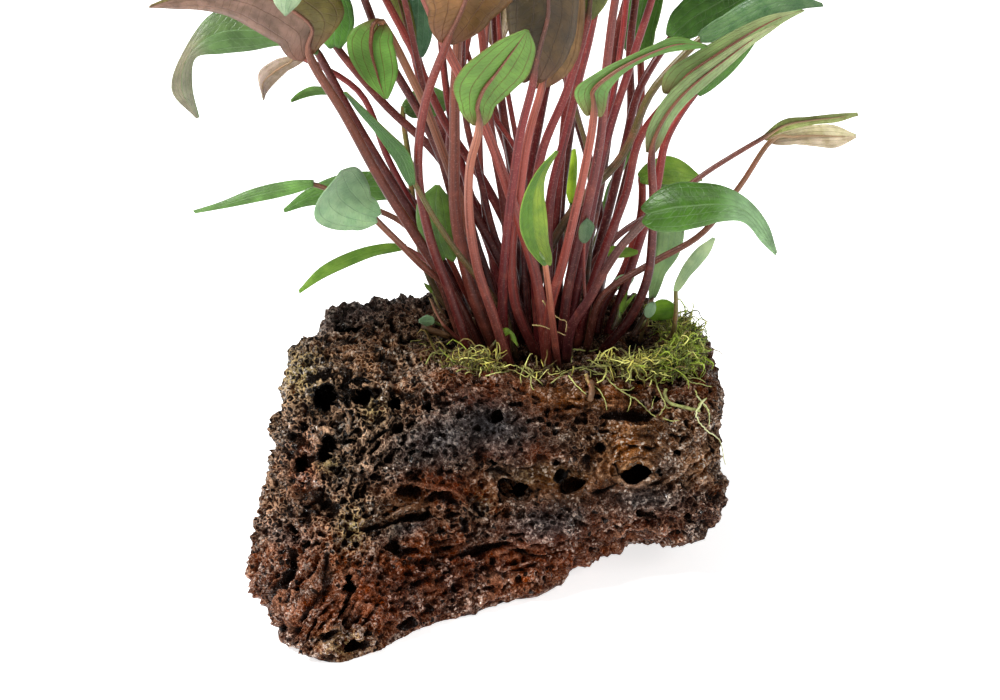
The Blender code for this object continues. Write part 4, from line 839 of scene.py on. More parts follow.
def stalk_place(leaf, share, under, heart, hidden, rib):
    """Place function of the stalk, which runs on under a share of the blade as a midrib."""
    blade = leaf.rows[1:, 0]
    line = np.concatenate((leaf.centres, blade))
    sides = unit(np.concatenate((leaf.sides, leaf.rows[1:, 1])))
    stalk_rows = len(leaf.centres) - 1
    last = stalk_rows + share * len(blade)

    def place(u, s):
        t = s * last
        centre = along_curve(line, t)
        ahead = unit(along_curve(line, t + 0.02) - along_curve(line, t - 0.02))
        side = along_curve(sides, t)
        side = unit(side - ahead * np.sum(side * ahead, axis=1, keepdims=True))
        up = np.cross(side, ahead)
        past = np.clip((t - stalk_rows) / (last - stalk_rows), 0.0, 1.0)
        radius = along_curve(leaf.radii[:, None], np.minimum(t, stalk_rows))[:, 0]
        radius = radius * (1.0 - 0.18 * smooth(-0.1, 0.05, past)) * (1.0 - past) ** 0.8 + 0.00016 * (past > 0)
        radius = radius * (1.0 - (1.0 - rib) * smooth(-0.15, 0.35, t - stalk_rows)) * 1.06
        angle = u * math.pi
        channel = 1.0 - 0.10 * np.exp(-((np.abs(angle) - math.pi / 2) / 0.5) ** 2) * (angle > 0)
        radius = radius * channel
        if hidden:
            sunk = smooth(stalk_rows - 0.9 - 1.6 * heart, stalk_rows - 0.2, t) * (radius * 1.25 + 0.0004)
        else:
            sunk = smooth(stalk_rows - 0.7 - 1.6 * heart, stalk_rows - 0.8 * heart, t) * (radius + 0.00025)
        centre = centre + np.cross(side, ahead) * (under * sunk)[:, None]
        return centre + (side * np.cos(angle)[:, None] + up * np.sin(angle)[:, None]) * radius[:, None]

    return place, stalk_rows / last


def stalk_colours(kind, s, neck, rng, rib):
    """Colour along a stalk from foot to neck and on along the midrib."""
    foot, top = (np.array(c) for c in STALK_TONES[kind])
    strength = rng.choice((rng.uniform(0.50, 0.80), rng.uniform(1.00, 1.25), rng.uniform(1.22, 1.48)))
    gain = strength * np.array((1.0, rng.uniform(0.85, 1.35), rng.uniform(0.85, 1.25)))
    t = np.clip(s / neck, 0.0, 1.0)[:, None] ** 2
    tone = foot * (1.0 - t) + top * t
    tone = tone * gain * (0.48 + 0.14 * smooth(0.0, 0.10, s) + 0.46 * smooth(0.05, 0.35, s))[:, None]
    ribbed = smooth(neck * 0.985, min(1.0, neck * 1.05), s)[:, None]
    return tone * (1.0 - ribbed) + np.array(rib) * ribbed


def build_leaf(name, leaf, look, heart, materials, fine=1.0):
    """One leaf: the stalk that runs on as the midrib, and the blade with its two faces."""
    piece = name + "_grown" if name.startswith("leaf_") else name
    rng = random.Random(piece)
    middle = leaf.rows[len(leaf.rows) // 2]
    front_seen = np.cross(middle[1], leaf.rows[-1, 0] - leaf.rows[0, 0]) @ (EYE - middle[0]) > 0
    facing = 1.0 if front_seen else -1.0
    hidden = look.front not in RED_RIB
    under = -facing if hidden else facing
    rib_share = look.rib or (HIDDEN_RIB_SHARE if hidden else SHOWN_RIB_SHARE)
    place, neck = stalk_place(leaf, RIB_REACH, under, heart, hidden, rib_share)
    stalk, _, s = shape_grid(name + "_stalk", STALK_ROUND, int(STALK_ALONG * fine), place)
    rib = RIB_TONES[look.back if hidden else look.front]
    set_colours(stalk, "shade", stalk_colours(look.stalk, s, neck, rng, rib))
    set_values(stalk, "spots", np.zeros(len(s)))
    weld(stalk, 0.000004)
    cap_holes(stalk)
    phase = rng.uniform(0.0, 6.0)
    wave = rng.uniform(0.03, 0.07)
    blade, u, s = shape_grid(name + "_blade", int(BLADE_ACROSS * fine), int(BLADE_ALONG * fine),
                             lambda u, s: leaf.surface(u, s, heart, wave, phase, under))
    seen = blade_shades(look, leaf, u, s, rng)
    far = blade_shades(Look(), leaf, u, s, rng)
    set_values(blade, "spots", np.full(len(s), look.spots))
    for face in ((look.front, look.back) if front_seen else (look.back, look.front)):
        blade.data.materials.append(materials[face])
    apply_modifier(blade, "SOLIDIFY", thickness=settings().leaves.blade_thickness, offset=0.0,
                   material_offset=1, material_offset_rim=0)
    set_colours(blade, "shade", np.concatenate((seen, far) if front_seen else (far, seen)))
    stalk.data.materials.append(materials["stalk"])
    body = join([stalk, blade], piece)
    shade_smooth(body)
    return body


def blade_shades(look, leaf, u, s, rng):
    """A blade's colour at each point, from base to tip and from half to half, with painted light and shade.
    """
    gain = rng.uniform(0.86, 1.14)
    warm = rng.uniform(-0.06, 0.06)
    drift = rng.uniform(-0.10, 0.16)
    if look.shades:
        gain, warm = 1.0, 0.0
    # By default the right half is a little darker, painted shade on one side of the fold
    usual = ((1.0 - drift,) * 3, (1.0 + drift,) * 3, PLAIN, (0.9, 0.93, 0.9))
    base, tip, left, right = (np.array(tone) for tone in look.shades or usual)
    change = smooth(*look.span, s) if look.span else s
    tone = base + (tip - base) * change[:, None]
    over = u * math.copysign(1.0, leaf.rows[len(leaf.rows) // 2, 1, 0])
    side = smooth(-0.06, 0.06, over)[:, None]
    return tone * (left + (right - left) * side) * np.array((gain + warm, gain, gain - warm))


# Blade finishes: dark and light of the mottling, vein colour, how strong side veins and cross veins are,
# roughness, colour at the base, sheen. A share in place of a colour is taken of the setting for that face.
RED_VEIN = (0.155, 0.045, 0.020)
FINISHES = {
    "green": (0.62, 1.0, (0.19, 0.33, 0.12), 0.30, 0.12, 0.36, None, 0.12),
    "frosted": ((0.185, 0.335, 0.165), (0.290, 0.445, 0.235), (0.20, 0.33, 0.18), 0.18, 0.06, 0.50,
                None, 0.25),
    "bright": ((0.100, 0.20, 0.012), (0.19, 0.30, 0.025), (0.24, 0.36, 0.06), 0.25, 0.10, 0.40),
    "blue": ((0.035, 0.095, 0.040), (0.085, 0.165, 0.080), (0.13, 0.22, 0.12), 0.16, 0.08, 0.33, None, 0.15),
    "pale": (0.80, 1.0, RED_VEIN, 0.60, 0.20, 0.46, (0.20, 0.10, 0.04)),
    "pink": ((0.165, 0.105, 0.050), (0.31, 0.205, 0.115), (0.100, 0.042, 0.022), 0.42, 0.16, 0.44,
             (0.20, 0.075, 0.045)),
    "rosy": ((0.145, 0.075, 0.022), (0.25, 0.130, 0.045), (0.11, 0.036, 0.018), 0.42, 0.16, 0.44,
             (0.20, 0.075, 0.045)),
    "brown": ((0.058, 0.040, 0.014), (0.105, 0.072, 0.028), (0.042, 0.020, 0.009), 0.38, 0.18, 0.44,
              (0.13, 0.055, 0.028)),
    "beige": ((0.33, 0.28, 0.135), (0.56, 0.50, 0.30), (0.21, 0.12, 0.055), 0.32, 0.10, 0.46,
              (0.34, 0.20, 0.10)),
    "olive": ((0.110, 0.125, 0.022), (0.210, 0.220, 0.048), (0.070, 0.050, 0.020), 0.36, 0.16, 0.42),
}


def leaf_materials():
    """The finishes that the leaves share."""
    chosen = settings().leaves
    bases = {"green": chosen.upper_colour, "pale": chosen.under_colour}
    made = {"stalk": stalk_material()}
    for name, (dark, light, *more) in FINISHES.items():
        if name in bases:
            dark, light = (tuple(share * c for c in bases[name]) for share in (dark, light))
        made[name] = blade_material("leaf_" + name, dark, light, *more)
    return made


# Small leaves past the solids, placed by the view: name, look, route (px, py), depth and foot depth in mm,
# stalk radius in mm, blade stations, depth change to the tip, lift of the edges
SMALL_LEAVES = [
    ("bunch_stalk_a", Look("olive", "green"),
     [(516, 345), (508, 310), (492, 255), (474, 205), (458, 150), (447, 95), (440, 30), (434, -30)],
     42, 30, 1.45, [(433, -30, 436, -31), (421, -62, 441, -66), (416, -92, 432, -98), (414, -124)], 6, 0.2),
    ("bunch_stalk_b", Look("pale", "green"),
     [(514, 345), (503, 268), (490, 220), (478, 170), (466, 120), (462, 60), (466, -10)],
     34, 26, 1.25, [(465, -10, 468, -10), (456, -38, 476, -38), (458, -66, 480, -66), (474, -92)], 4, 0.2),
    ("bunch_stalk_c", Look(),
     [(525, 345), (524, 250), (522, 190), (517, 144), (508, 94), (500, 40), (496, -24)],
     36, 28, 1.0, [(495, -24, 498, -24), (488, -50, 506, -52), (490, -80, 506, -80), (500, -108)], 4, 0.2),
    ("bunch_stalk_d", Look("olive", "green"),
     [(521, 345), (524, 180), (515, 148), (491, 111), (470, 60), (452, 0)],
     44, 30, 1.0, [(451, 0, 454, -1), (438, -24, 458, -30), (434, -52, 450, -58), (432, -82)], 6, 0.2),
    ("bunch_stalk_e", Look("pale", "green", stalk="terracotta"),
     [(505, 345), (490, 250), (483, 196), (480, 144), (482, 90), (488, 20), (494, -40)],
     46, 32, 1.05, [(493, -40, 496, -40), (482, -66, 502, -68), (484, -96, 504, -98), (496, -128)], 4, 0.2),
    ("bunch_stalk_f", Look(stalk="olive"),
     [(578, 345), (590, 250), (590, 180), (586, 146), (575, 109), (566, 60), (560, 0)],
     40, 28, 0.9, [(559, 0, 562, 0), (548, -24, 568, -28), (550, -54, 566, -58), (556, -84)], 4, 0.2),
    ("bunch_stalk_g", Look("olive", "green"),
     [(528, 345), (512, 285), (496, 240), (474, 200), (452, 168), (436, 140), (424, 100), (412, 50)],
     50, 34, 1.3, [(411, 50, 414, 49), (396, 24, 414, 20), (388, -6, 404, -10), (384, -36)], 6, 0.2),
    ("bunch_stalk_h", Look(),
     [(545, 345), (550, 280), (556, 220), (562, 150), (568, 80), (574, 20), (578, -30)],
     50, 36, 1.5, [(577, -30, 580, -30), (566, -56, 590, -58), (568, -86, 590, -88), (580, -116)], 6, 0.2),
    ("bunch_stalk_i", Look(),
     [(560, 345), (566, 300), (574, 250), (586, 200), (600, 150), (612, 100), (622, 40), (628, -20)],
     46, 36, 1.3, [(627, -20, 630, -20), (620, -48, 642, -46), (624, -78, 644, -76), (638, -104)], 4, 0.2),
    ("shoot_small_grey", Look("blue", "pale", shades=(
        (1.5, 1.2, 1.1), (2.0, 1.6, 1.5), PLAIN, (0.8, 0.85, 0.8))),
     [(585, 300), (584, 272), (583, 247)],
     8, 12, 0.55, [(583, 243, 586, 243), (579, 236, 592, 234), (580, 226, 594, 225), (587, 218)], -1, 0.2),
    ("tip_leaf_left", Look("frosted", "pale", shades=((1.4, 1.15, 1.3), (1.5, 1.2, 1.4), PLAIN, DARKER)),
     [(498, 345), (470, 262), (447, 182), (427, 104), (413, 40), (398, -20), (366, -62), (326, -72),
      (299, -52)],
     -14, 30, 1.1, [(297, -53, 301, -51), (276, -34, 312, -30), (271, -14, 306, -10), (274, 3, 299, 4),
      (285, 16)], -2, 0.2),
    ("shoot_sliver", Look("bright", "pale", stalk="green"),
     [(470, 330), (452, 296), (437, 252)],
     26, 24, 0.6, [(435, 251, 439, 250), (424, 240, 431, 238), (419, 230, 423, 229), (421, 224)], 2, 0.2),
    ("shoot_grey", Look("frosted", "pale", stalk="olive"),
     [(612, 330), (618, 312), (622, 292)],
     36, 30, 0.6, [(620, 292, 624, 291), (615, 283, 631, 284), (618, 277, 634, 278), (628, 274)], 2, 0.2),
    ("shoot_grey_low", Look("frosted", "pale", stalk="olive"),
     [(640, 332), (646, 325), (648, 318)],
     20, 24, 0.5, [(646, 317, 650, 318), (644, 311, 655, 312), (648, 304, 656, 306), (654, 302)], -2, 0.2),
    ("shoot_curved", Look("bright", "pale", stalk="green"),
     [(488, 352), (492, 346), (497, 340)],
     6, 8, 0.5, [(496, 338, 498, 342), (505, 328, 509, 334), (514, 334, 512, 340), (518, 346)], -2, 0.2),
    ("shoot_tip_left", Look("bright", "pale", stalk="green"),
     [(446, 318), (438, 305), (432, 293)],
     24, 24, 0.5, [(430, 293, 434, 292), (426, 288, 430, 286), (424, 283)], 0, 0.2),
    ("shoot_blade_a", Look("bright", "pale", stalk="green"),
     [(616, 326), (619, 318), (620, 312)],
     22, 22, 0.5, [(619, 312, 622, 312), (621, 303, 626, 302), (628, 290)], 2, 0.2),
    ("shoot_blade_b", Look("bright", "pale", stalk="green"),
     [(618, 328), (620, 320), (621, 314)],
     24, 24, 0.5, [(620, 314, 623, 313), (625, 304, 630, 303), (636, 293)], 4, 0.2),
    ("shoot_orange", Look("pink", "pink", stalk="terracotta"),
     [(466, 344), (455, 336), (443, 324)],
     18, 20, 0.75, [(442, 325, 445, 323), (435, 313, 438, 312), (431, 303, 433, 302), (429, 297)], 0, 0.3),
]

# Stone regions: (px, py, half width, half height, turn in degrees, strength). In the gain regions the painted
# highlights and glints and the wet shine are stronger.
REGIONS = {
    "gain": [(305, 520, 60, 44, 0, 1.5), (300, 592, 50, 56, 0, 1.2), (345, 640, 70, 24, 0, 1.6),
             (700, 460, 30, 60, 0, 1.5), (300, 400, 40, 60, 0, 1.0), (640, 440, 50, 26, 0, 0.9),
             (470, 592, 130, 20, -16, 1.0), (390, 380, 70, 40, 0, 0.8), (590, 380, 60, 16, 0, 0.3),
             (350, 532, 26, 22, 0, 1.4), (575, 552, 60, 16, -14, 0.8), (480, 514, 26, 14, 10, 1.0),
             (545, 465, 50, 14, 0, 0.5), (330, 440, 70, 50, 0, 0.9), (380, 440, 30, 60, 0, 0.7),
             (690, 470, 40, 60, 0, 1.6), (660, 520, 50, 20, 0, 0.9), (560, 530, 60, 20, 0, 0.6)],
    "froth": [(330, 430, 80, 110, 0, 1.0), (370, 400, 70, 50, 0, 0.8), (300, 520, 60, 40, 0, 0.8),
              (380, 470, 40, 50, 0, 0.6), (450, 520, 40, 25, 0, 0.5), (590, 440, 30, 25, 0, 0.4)],
    "coal": [(490, 425, 52, 26, 8, 1.0), (440, 440, 50, 26, -20, 0.9), (545, 522, 45, 18, -8, 0.8),
             (640, 500, 50, 14, 0, 0.7), (405, 531, 26, 8, -20, 0.8), (350, 312, 60, 18, -15, 0.7),
             (400, 300, 60, 12, 0, 0.6), (668, 466, 14, 14, 0, 0.5), (695, 350, 20, 30, 0, 0.3),
             (290, 538, 26, 10, 20, 0.5)],
    "rust": [(400, 590, 190, 50, -12, 1.0), (290, 580, 60, 60, 0, 0.8), (520, 560, 120, 34, -12, 0.9),
             (640, 530, 70, 26, -8, 0.7), (440, 490, 50, 18, 8, 0.9), (520, 455, 60, 12, 4, 0.6),
             (480, 390, 50, 20, 0, 0.6), (600, 400, 60, 22, 0, 0.5), (305, 470, 16, 30, 0, 1.0),
             (470, 550, 80, 16, 0, 0.8), (670, 385, 40, 24, 0, 0.4), (700, 510, 30, 20, 0, 0.6)],
    "glaze": [(635, 450, 42, 36, 0, 1.0), (692, 462, 20, 18, 0, 0.7), (585, 400, 50, 14, 0, 0.8),
              (560, 480, 40, 20, 0, 0.6), (410, 497, 20, 14, 0, 0.5), (360, 355, 30, 22, 0, 0.3)],
    "ochre": [(300, 372, 22, 22, 0, 1.0), (352, 528, 14, 20, 0, 0.9), (393, 531, 8, 8, 0, 1.0),
              (345, 645, 22, 14, 0, 0.8), (482, 498, 12, 12, 0, 0.7), (545, 475, 30, 10, 0, 0.6),
              (374, 410, 12, 14, 0, 0.8), (330, 466, 12, 8, 0, 0.8)],
}

# Pits seen on the front: (px, py, width, height, depth in mm)
SEEN_PITS = [
    (392, 382, 18, 15, 4.0), (390, 407, 22, 12, 3.5), (350, 332, 22, 18, 4.0), (359, 442, 38, 10, 3.5),
    (396, 475, 10, 14, 3.5), (497, 418, 19, 17, 3.4), (493, 463, 13, 10, 3.0), (556, 462, 13, 9, 3.0),
    (655, 400, 15, 12, 2.8), (639, 383, 13, 9, 2.8), (675, 453, 14, 8, 3.0), (645, 515, 20, 8, 2.8),
    (604, 416, 10, 9, 2.8), (601, 449, 11, 11, 3.4), (390, 545, 20, 13, 3.0), (407, 620, 16, 10, 2.6),
    (540, 578, 16, 8, 3.0), (296, 528, 12, 14, 3.0), (430, 410, 12, 14, 3.0), (355, 645, 26, 11, 3.0),
    (683, 517, 18, 8, 3.0), (418, 383, 13, 12, 3.0), (377, 333, 13, 12, 2.5), (304, 427, 15, 11, 3.2),
    (292, 512, 13, 12, 3.0), (279, 523, 9, 10, 2.4), (307, 512, 9, 9, 2.2), (375, 478, 9, 9, 2.0),
    (516, 404, 15, 7, 2.4), (529, 421, 7, 6, 1.8), (541, 420, 9, 8, 2.2), (549, 424, 7, 6, 1.8),
    (585, 461, 8, 6, 1.5), (658, 471, 8, 7, 1.5), (597, 396, 11, 7, 2.0), (680, 404, 11, 7, 2.4),
    (710, 451, 10, 8, 2.6), (700, 497, 10, 7, 2.4), (620, 523, 15, 7, 2.2), (492, 561, 8, 9, 2.6),
    (430, 608, 13, 11, 1.8), (280, 425, 8, 9, 1.5), (660, 475, 6, 4, 1.6), (357, 542, 9, 9, 2.6),
    (300, 395, 8, 8, 1.8), (312, 412, 8, 7, 1.6), (345, 434, 8, 8, 2.0), (425, 405, 10, 14, 2.2),
    (440, 472, 8, 8, 1.6), (380, 420, 12, 8, 2.0), (290, 455, 9, 12, 2.0), (464, 526, 9, 14, 2.6),
    (315, 391, 7, 9, 1.8), (343, 384, 9, 7, 1.8), (408, 395, 9, 8, 1.8), (436, 396, 8, 7, 1.6),
    (350, 412, 9, 8, 2.4), (292, 408, 7, 6, 1.5), (343, 460, 8, 10, 2.0), (320, 498, 10, 8, 2.0),
    (336, 508, 9, 8, 1.8), (282, 553, 8, 6, 1.5), (641, 425, 12, 3, 1.8), (569, 510, 8, 6, 1.2),
]

# Bowls of the front: (px, py, half width, half height, turn in degrees, depth in mm, darkness of the painted
# shade inside, rim height in mm, how pale the rim is, partly as painted highlight)
BOWLS = [
    (636.5, 473.5, 15.8, 10.6, -4, 4.6, 1.00, 1.0, 0.85), (326, 400, 15, 15, 0, 7.0, 1.00, 0.7, 0.75),
    (362, 396, 11, 8, 0, 5.5, 1.00, 0.5, 0.70), (327, 449, 9, 15, 12, 6.0, 0.95, 0.6, 0.90),
    (305, 469, 13, 22, 14, 5.4, 0.45, 0.4, 0.50), (513, 489, 21, 13, 24, 4.0, 0.62, 0.3, 0.25),
    (572, 485, 17, 10, -15, 3.6, 0.55, 0.3, 0.25), (561, 476, 7, 7, 0, 5.0, 1.00, 0.3, 0.3),
    (409, 494, 17, 10, -4, 5.0, 0.50, 0.3, 0.35), (345, 588, 10, 15, 12, 4.0, 0.75, 0.4, 0.50),
    (329, 635, 9, 4, -30, 3.4, 0.95, 0.4, 0.70), (406, 624, 10, 6, -20, 2.6, 0.80, 0.2, 0.2),
]

# Sunken lines of the front: points (px, py), half width in px, depth in mm, darkness of the painted shade in
# them
GROOVES = [
    ([(297, 551), (293, 568), (283, 587), (271, 603)], 6.0, 4.4, 1.00),
    ([(328, 556), (327, 574), (323, 590), (314, 604), (301, 620)], 5.6, 5.0, 1.00),
    ([(306, 586), (303, 594), (299, 603)], 1.5, 1.6, 0.70),
    ([(296, 612), (302, 602), (308, 594)], 1.3, 1.4, 0.60),
    ([(372, 529), (386, 526), (399, 522), (413, 517), (427, 514), (438, 520)], 2.8, 3.8, 0.95),
    ([(425, 499), (436, 496), (448, 498), (458, 504)], 4.6, 3.8, 0.90),
    ([(505, 480), (513, 485), (522, 488), (532, 491)], 4.2, 3.4, 0.95),
    ([(500, 486), (498, 495), (500, 504)], 2.6, 2.2, 0.70),
    ([(382, 549), (393, 546), (403, 552), (415, 549)], 5.0, 3.0, 0.85),
    ([(449, 558), (462, 555), (476, 550), (490, 547), (505, 544)], 4.2, 2.8, 0.85),
    ([(508, 550), (524, 553), (540, 556)], 2.2, 1.6, 0.60),
    ([(600, 417), (614, 413), (630, 415), (646, 417), (658, 412)], 5.0, 3.0, 0.85),
    ([(428, 536), (442, 531), (456, 536)], 2.0, 1.6, 0.60),
    ([(398, 560), (414, 563), (432, 560), (446, 563)], 3.6, 2.0, 0.60),
    ([(560, 410), (574, 407), (590, 410)], 2.2, 1.4, 0.50),
    ([(612, 462), (616, 468), (618, 476)], 1.6, 1.4, 0.70),
    ([(624, 446), (632, 447), (640, 446)], 1.4, 1.2, 0.60),
    ([(645, 446), (650, 449), (655, 447)], 1.2, 1.2, 0.80),
    ([(590, 496), (604, 492), (616, 485)], 1.8, 1.8, 0.80),
    ([(628, 527), (644, 523), (660, 521)], 2.6, 1.8, 0.60),
    ([(666, 433), (676, 437), (688, 436)], 1.6, 1.2, 0.60),
    ([(445, 470), (452, 480), (466, 486)], 2.0, 1.4, 0.50),
    ([(355, 470), (350, 486), (356, 500)], 3.0, 2.0, 0.60),
    ([(366, 448), (374, 440), (384, 433), (392, 430)], 2.6, 3.0, 0.90),
    ([(330, 322), (346, 318), (362, 322)], 3.0, 2.0, 0.60),
    ([(388, 338), (404, 334), (424, 338)], 3.0, 2.0, 0.60),
]

# Raised lines of the front: points (px, py), half width in px, height in mm, how pale they are, partly as
# painted highlight
RIDGES = [
    ([(334, 562), (331, 576), (327, 588), (319, 601), (307, 617), (296, 630)], 1.5, 1.3, 0.75),
    ([(303, 560), (296, 576), (288, 594), (280, 606)], 2.6, 1.2, 0.55),
    ([(312, 575), (306, 590), (297, 606), (290, 616)], 1.4, 1.0, 0.60),
    ([(388, 487), (397, 484), (410, 482), (424, 484), (437, 488), (450, 491), (463, 498)], 2.0, 1.5, 0.55),
    ([(378, 520), (392, 516), (405, 511), (417, 507), (429, 505), (444, 510)], 2.0, 1.3, 0.50),
    ([(446, 551), (462, 546), (478, 541), (492, 538), (504, 537), (516, 542), (530, 547), (545, 548)],
     2.2, 1.4, 0.45),
    ([(556, 548), (572, 541), (590, 531), (606, 528)], 2.0, 1.1, 0.40),
    ([(625, 437), (629, 431), (635, 428), (643, 427), (653, 427)], 1.2, 0.9, 0.90),
    ([(615, 471), (618, 462), (626, 456), (637, 453), (648, 455), (657, 460), (661, 467)], 3.0, 1.6, 0.10),
    ([(644, 450), (650, 453), (657, 451), (660, 446), (656, 442), (648, 441), (641, 443)], 1.5, 1.1, 0.50),
    ([(624, 459), (631, 453), (641, 449), (648, 451)], 1.3, 1.0, 0.45),
    ([(597, 437), (604, 441), (609, 449), (611, 457), (613, 464)], 1.3, 1.1, 0.60),
    ([(652, 476), (656, 472), (659, 467)], 1.2, 1.0, 1.00),
    ([(679, 472), (687, 461), (697, 453), (707, 448)], 2.2, 1.3, 0.90),
    ([(688, 478), (699, 467), (712, 460)], 1.9, 1.1, 0.75),
    ([(664, 484), (675, 475), (684, 468)], 1.5, 1.0, 0.50),
    ([(334, 379), (337, 394), (344, 406), (350, 418), (351, 432), (346, 444)], 1.3, 1.3, 0.85),
    ([(313, 410), (319, 415), (327, 420), (335, 414), (343, 407)], 1.4, 1.3, 0.85),
    ([(355, 404), (363, 407), (371, 411), (378, 405)], 1.6, 1.2, 1.00),
    ([(361, 441), (374, 431), (387, 422), (402, 417)], 1.4, 1.2, 0.60),
    ([(376, 454), (391, 441), (405, 431)], 1.3, 1.0, 0.45),
    ([(316, 432), (318, 443), (322, 455), (329, 464), (336, 457)], 1.4, 1.1, 0.90),
    ([(466, 508), (474, 513), (482, 520), (488, 524)], 2.4, 1.1, 0.80),
    ([(536, 500), (547, 497), (556, 501)], 2.0, 1.0, 0.70),
    ([(574, 512), (582, 520), (588, 526)], 2.0, 1.0, 0.60),
    ([(480, 582), (492, 576), (505, 580), (520, 576)], 3.4, 0.8, 0.60),
    ([(334, 610), (348, 612), (362, 606), (376, 612)], 4.0, 0.9, 0.60),
    ([(360, 660), (345, 655), (330, 648)], 2.2, 0.8, 0.50),
    ([(392, 533), (388, 538), (384, 540)], 2.2, 0.7, 1.00),
]

# Directions that the lava flowed in: (px, py, half width, half height, turn in degrees, length in px,
# spacing in px, height in mm)
FLOWS = [
    (300, 592, 60, 64, 123, 60, 8.0, 3.0), (695, 465, 28, 34, -38, 26, 6.0, 1.2),
    (410, 516, 56, 24, -12, 38, 7.0, 1.5), (505, 548, 110, 18, -10, 40, 7.0, 1.9),
    (440, 590, 120, 28, -18, 24, 8.0, 0.8), (640, 530, 70, 16, -6, 32, 7.0, 1.1),
    (500, 392, 60, 18, 6, 22, 7.0, 0.6), (585, 402, 60, 16, 4, 30, 6.5, 0.8),
    (365, 460, 44, 40, -48, 26, 7.0, 1.0), (520, 470, 70, 24, 8, 30, 7.0, 0.8),
]

# Middle of the lines that run round the large bowl
SWIRL = (637, 470)

# How far a pit's rim reaches, in its radii, and what turns a cell's place into a random number
PIT_REACH = 1.45
CHANCE_DIRECTION = Vector((12.9898, 78.233, 37.719))
CHANCE_SCALE = 43758.5453

# Bubbles of the foam in metres, and the most that they go in, in mm
BUBBLES = (0.0085, 0.0044, 0.0025)
DEEPEST_BUBBLE = 5.0

# Most triangles of the stone's skin, and rounds of averaging that tell broad, middle and fine height apart
MOST_TRIANGLES = 196000
BROAD_ROUNDS = 120
MIDDLE_ROUNDS = 50
FINE_ROUNDS = 10


def region_share(px, py, spots):
    """How much each point belongs to a region, from 0 to 1."""
    total = np.zeros_like(px)
    for cx, cy, wide, high, turn, strength in spots:
        a = math.radians(turn)
        x = (px - cx) * math.cos(a) + (py - cy) * math.sin(a)
        y = -(px - cx) * math.sin(a) + (py - cy) * math.cos(a)
        total = np.maximum(total, strength * np.exp(-((x / wide) ** 2 + (y / high) ** 2) * 0.8))
    return total


def noise_rows(points, scale, offset):
    """Smooth random value at each point, about -1 to 1."""
    shift = Vector((offset, offset * 0.7, -offset))
    return np.array([noise.noise(Vector(p) * scale + shift) for p in points])


def body_arrays(body):
    """Points and normals of a body."""
    count = len(body.data.vertices)
    points = np.empty(count * 3)
    normals = np.empty(count * 3)
    body.data.vertices.foreach_get("co", points)
    body.data.vertex_normals.foreach_get("vector", normals)
    return points.reshape(-1, 3), normals.reshape(-1, 3)


def pit_drop(points, centres, radii, depths):
    """Depth below the surface and share of hollow at each point, for round pits with a low rim."""
    tree = point_tree(points)
    drop = np.zeros(len(points))
    hollow = np.zeros(len(points))
    for centre, radius, depth in zip(centres, radii, depths):
        for _, i, distance in tree.find_range(centre, radius * PIT_REACH):
            d = distance / radius
            if d < 1.0:
                inner = 1.0 - d ** 3.2
                drop[i] = max(drop[i], depth * inner)
                hollow[i] = max(hollow[i], min(1.0, inner * 1.3))
            elif hollow[i] == 0.0:
                drop[i] = min(drop[i], -0.10 * depth * (1.0 - (d - 1.0) / (PIT_REACH - 1.0)))
    return drop, hollow


def foam(points, size, seed):
    """Cells of a foam: how deep in its cell each point is, 0 at the walls, and the cell's random number."""
    moved = points / size + seed
    deep = np.empty(len(points))
    chance = np.empty(len(points))
    for i, point in enumerate(moved):
        distances, centres = noise.voronoi(Vector(point))
        deep[i] = distances[1] - distances[0]
        chance[i] = math.sin(centres[0].dot(CHANCE_DIRECTION)) * CHANCE_SCALE
    return smooth(0.06, 0.34, deep), chance - np.floor(chance)


def local_average(body, values, rounds):
    """Values averaged over the neighbours of each point, several times."""
    edges = np.empty(len(body.data.edges) * 2, dtype=int)
    body.data.edges.foreach_get("vertices", edges)
    a, b = edges.reshape(-1, 2).T
    count = len(values)
    near = np.bincount(a, minlength=count) + np.bincount(b, minlength=count)
    for _ in range(rounds):
        total = np.bincount(a, values[b], count) + np.bincount(b, values[a], count)
        values = (values + total) / (near + 1)
    return values


def craggy(points, scale, seed):
    """Sharp ridges with finer ridges on them, about -1 to 1."""
    moved = points * scale + seed
    raw = np.array([noise.ridged_multi_fractal(Vector(p), 0.9, 2.1, 4, 1.0, 2.0) for p in moved])
    return np.clip((raw - raw.mean()) / (2.0 * raw.std()), -1.2, 1.2)


def flow_ridges(rows):
    """Sharp crests of a stretched noise, 1 on a crest and down to about -0.5 between."""
    coarse = np.array([noise.noise(Vector(row)) for row in rows])
    fine = np.array([noise.noise(Vector(row) * 2.3) for row in rows])
    return 1.0 - 2.4 * np.abs(coarse + 0.25 * fine)


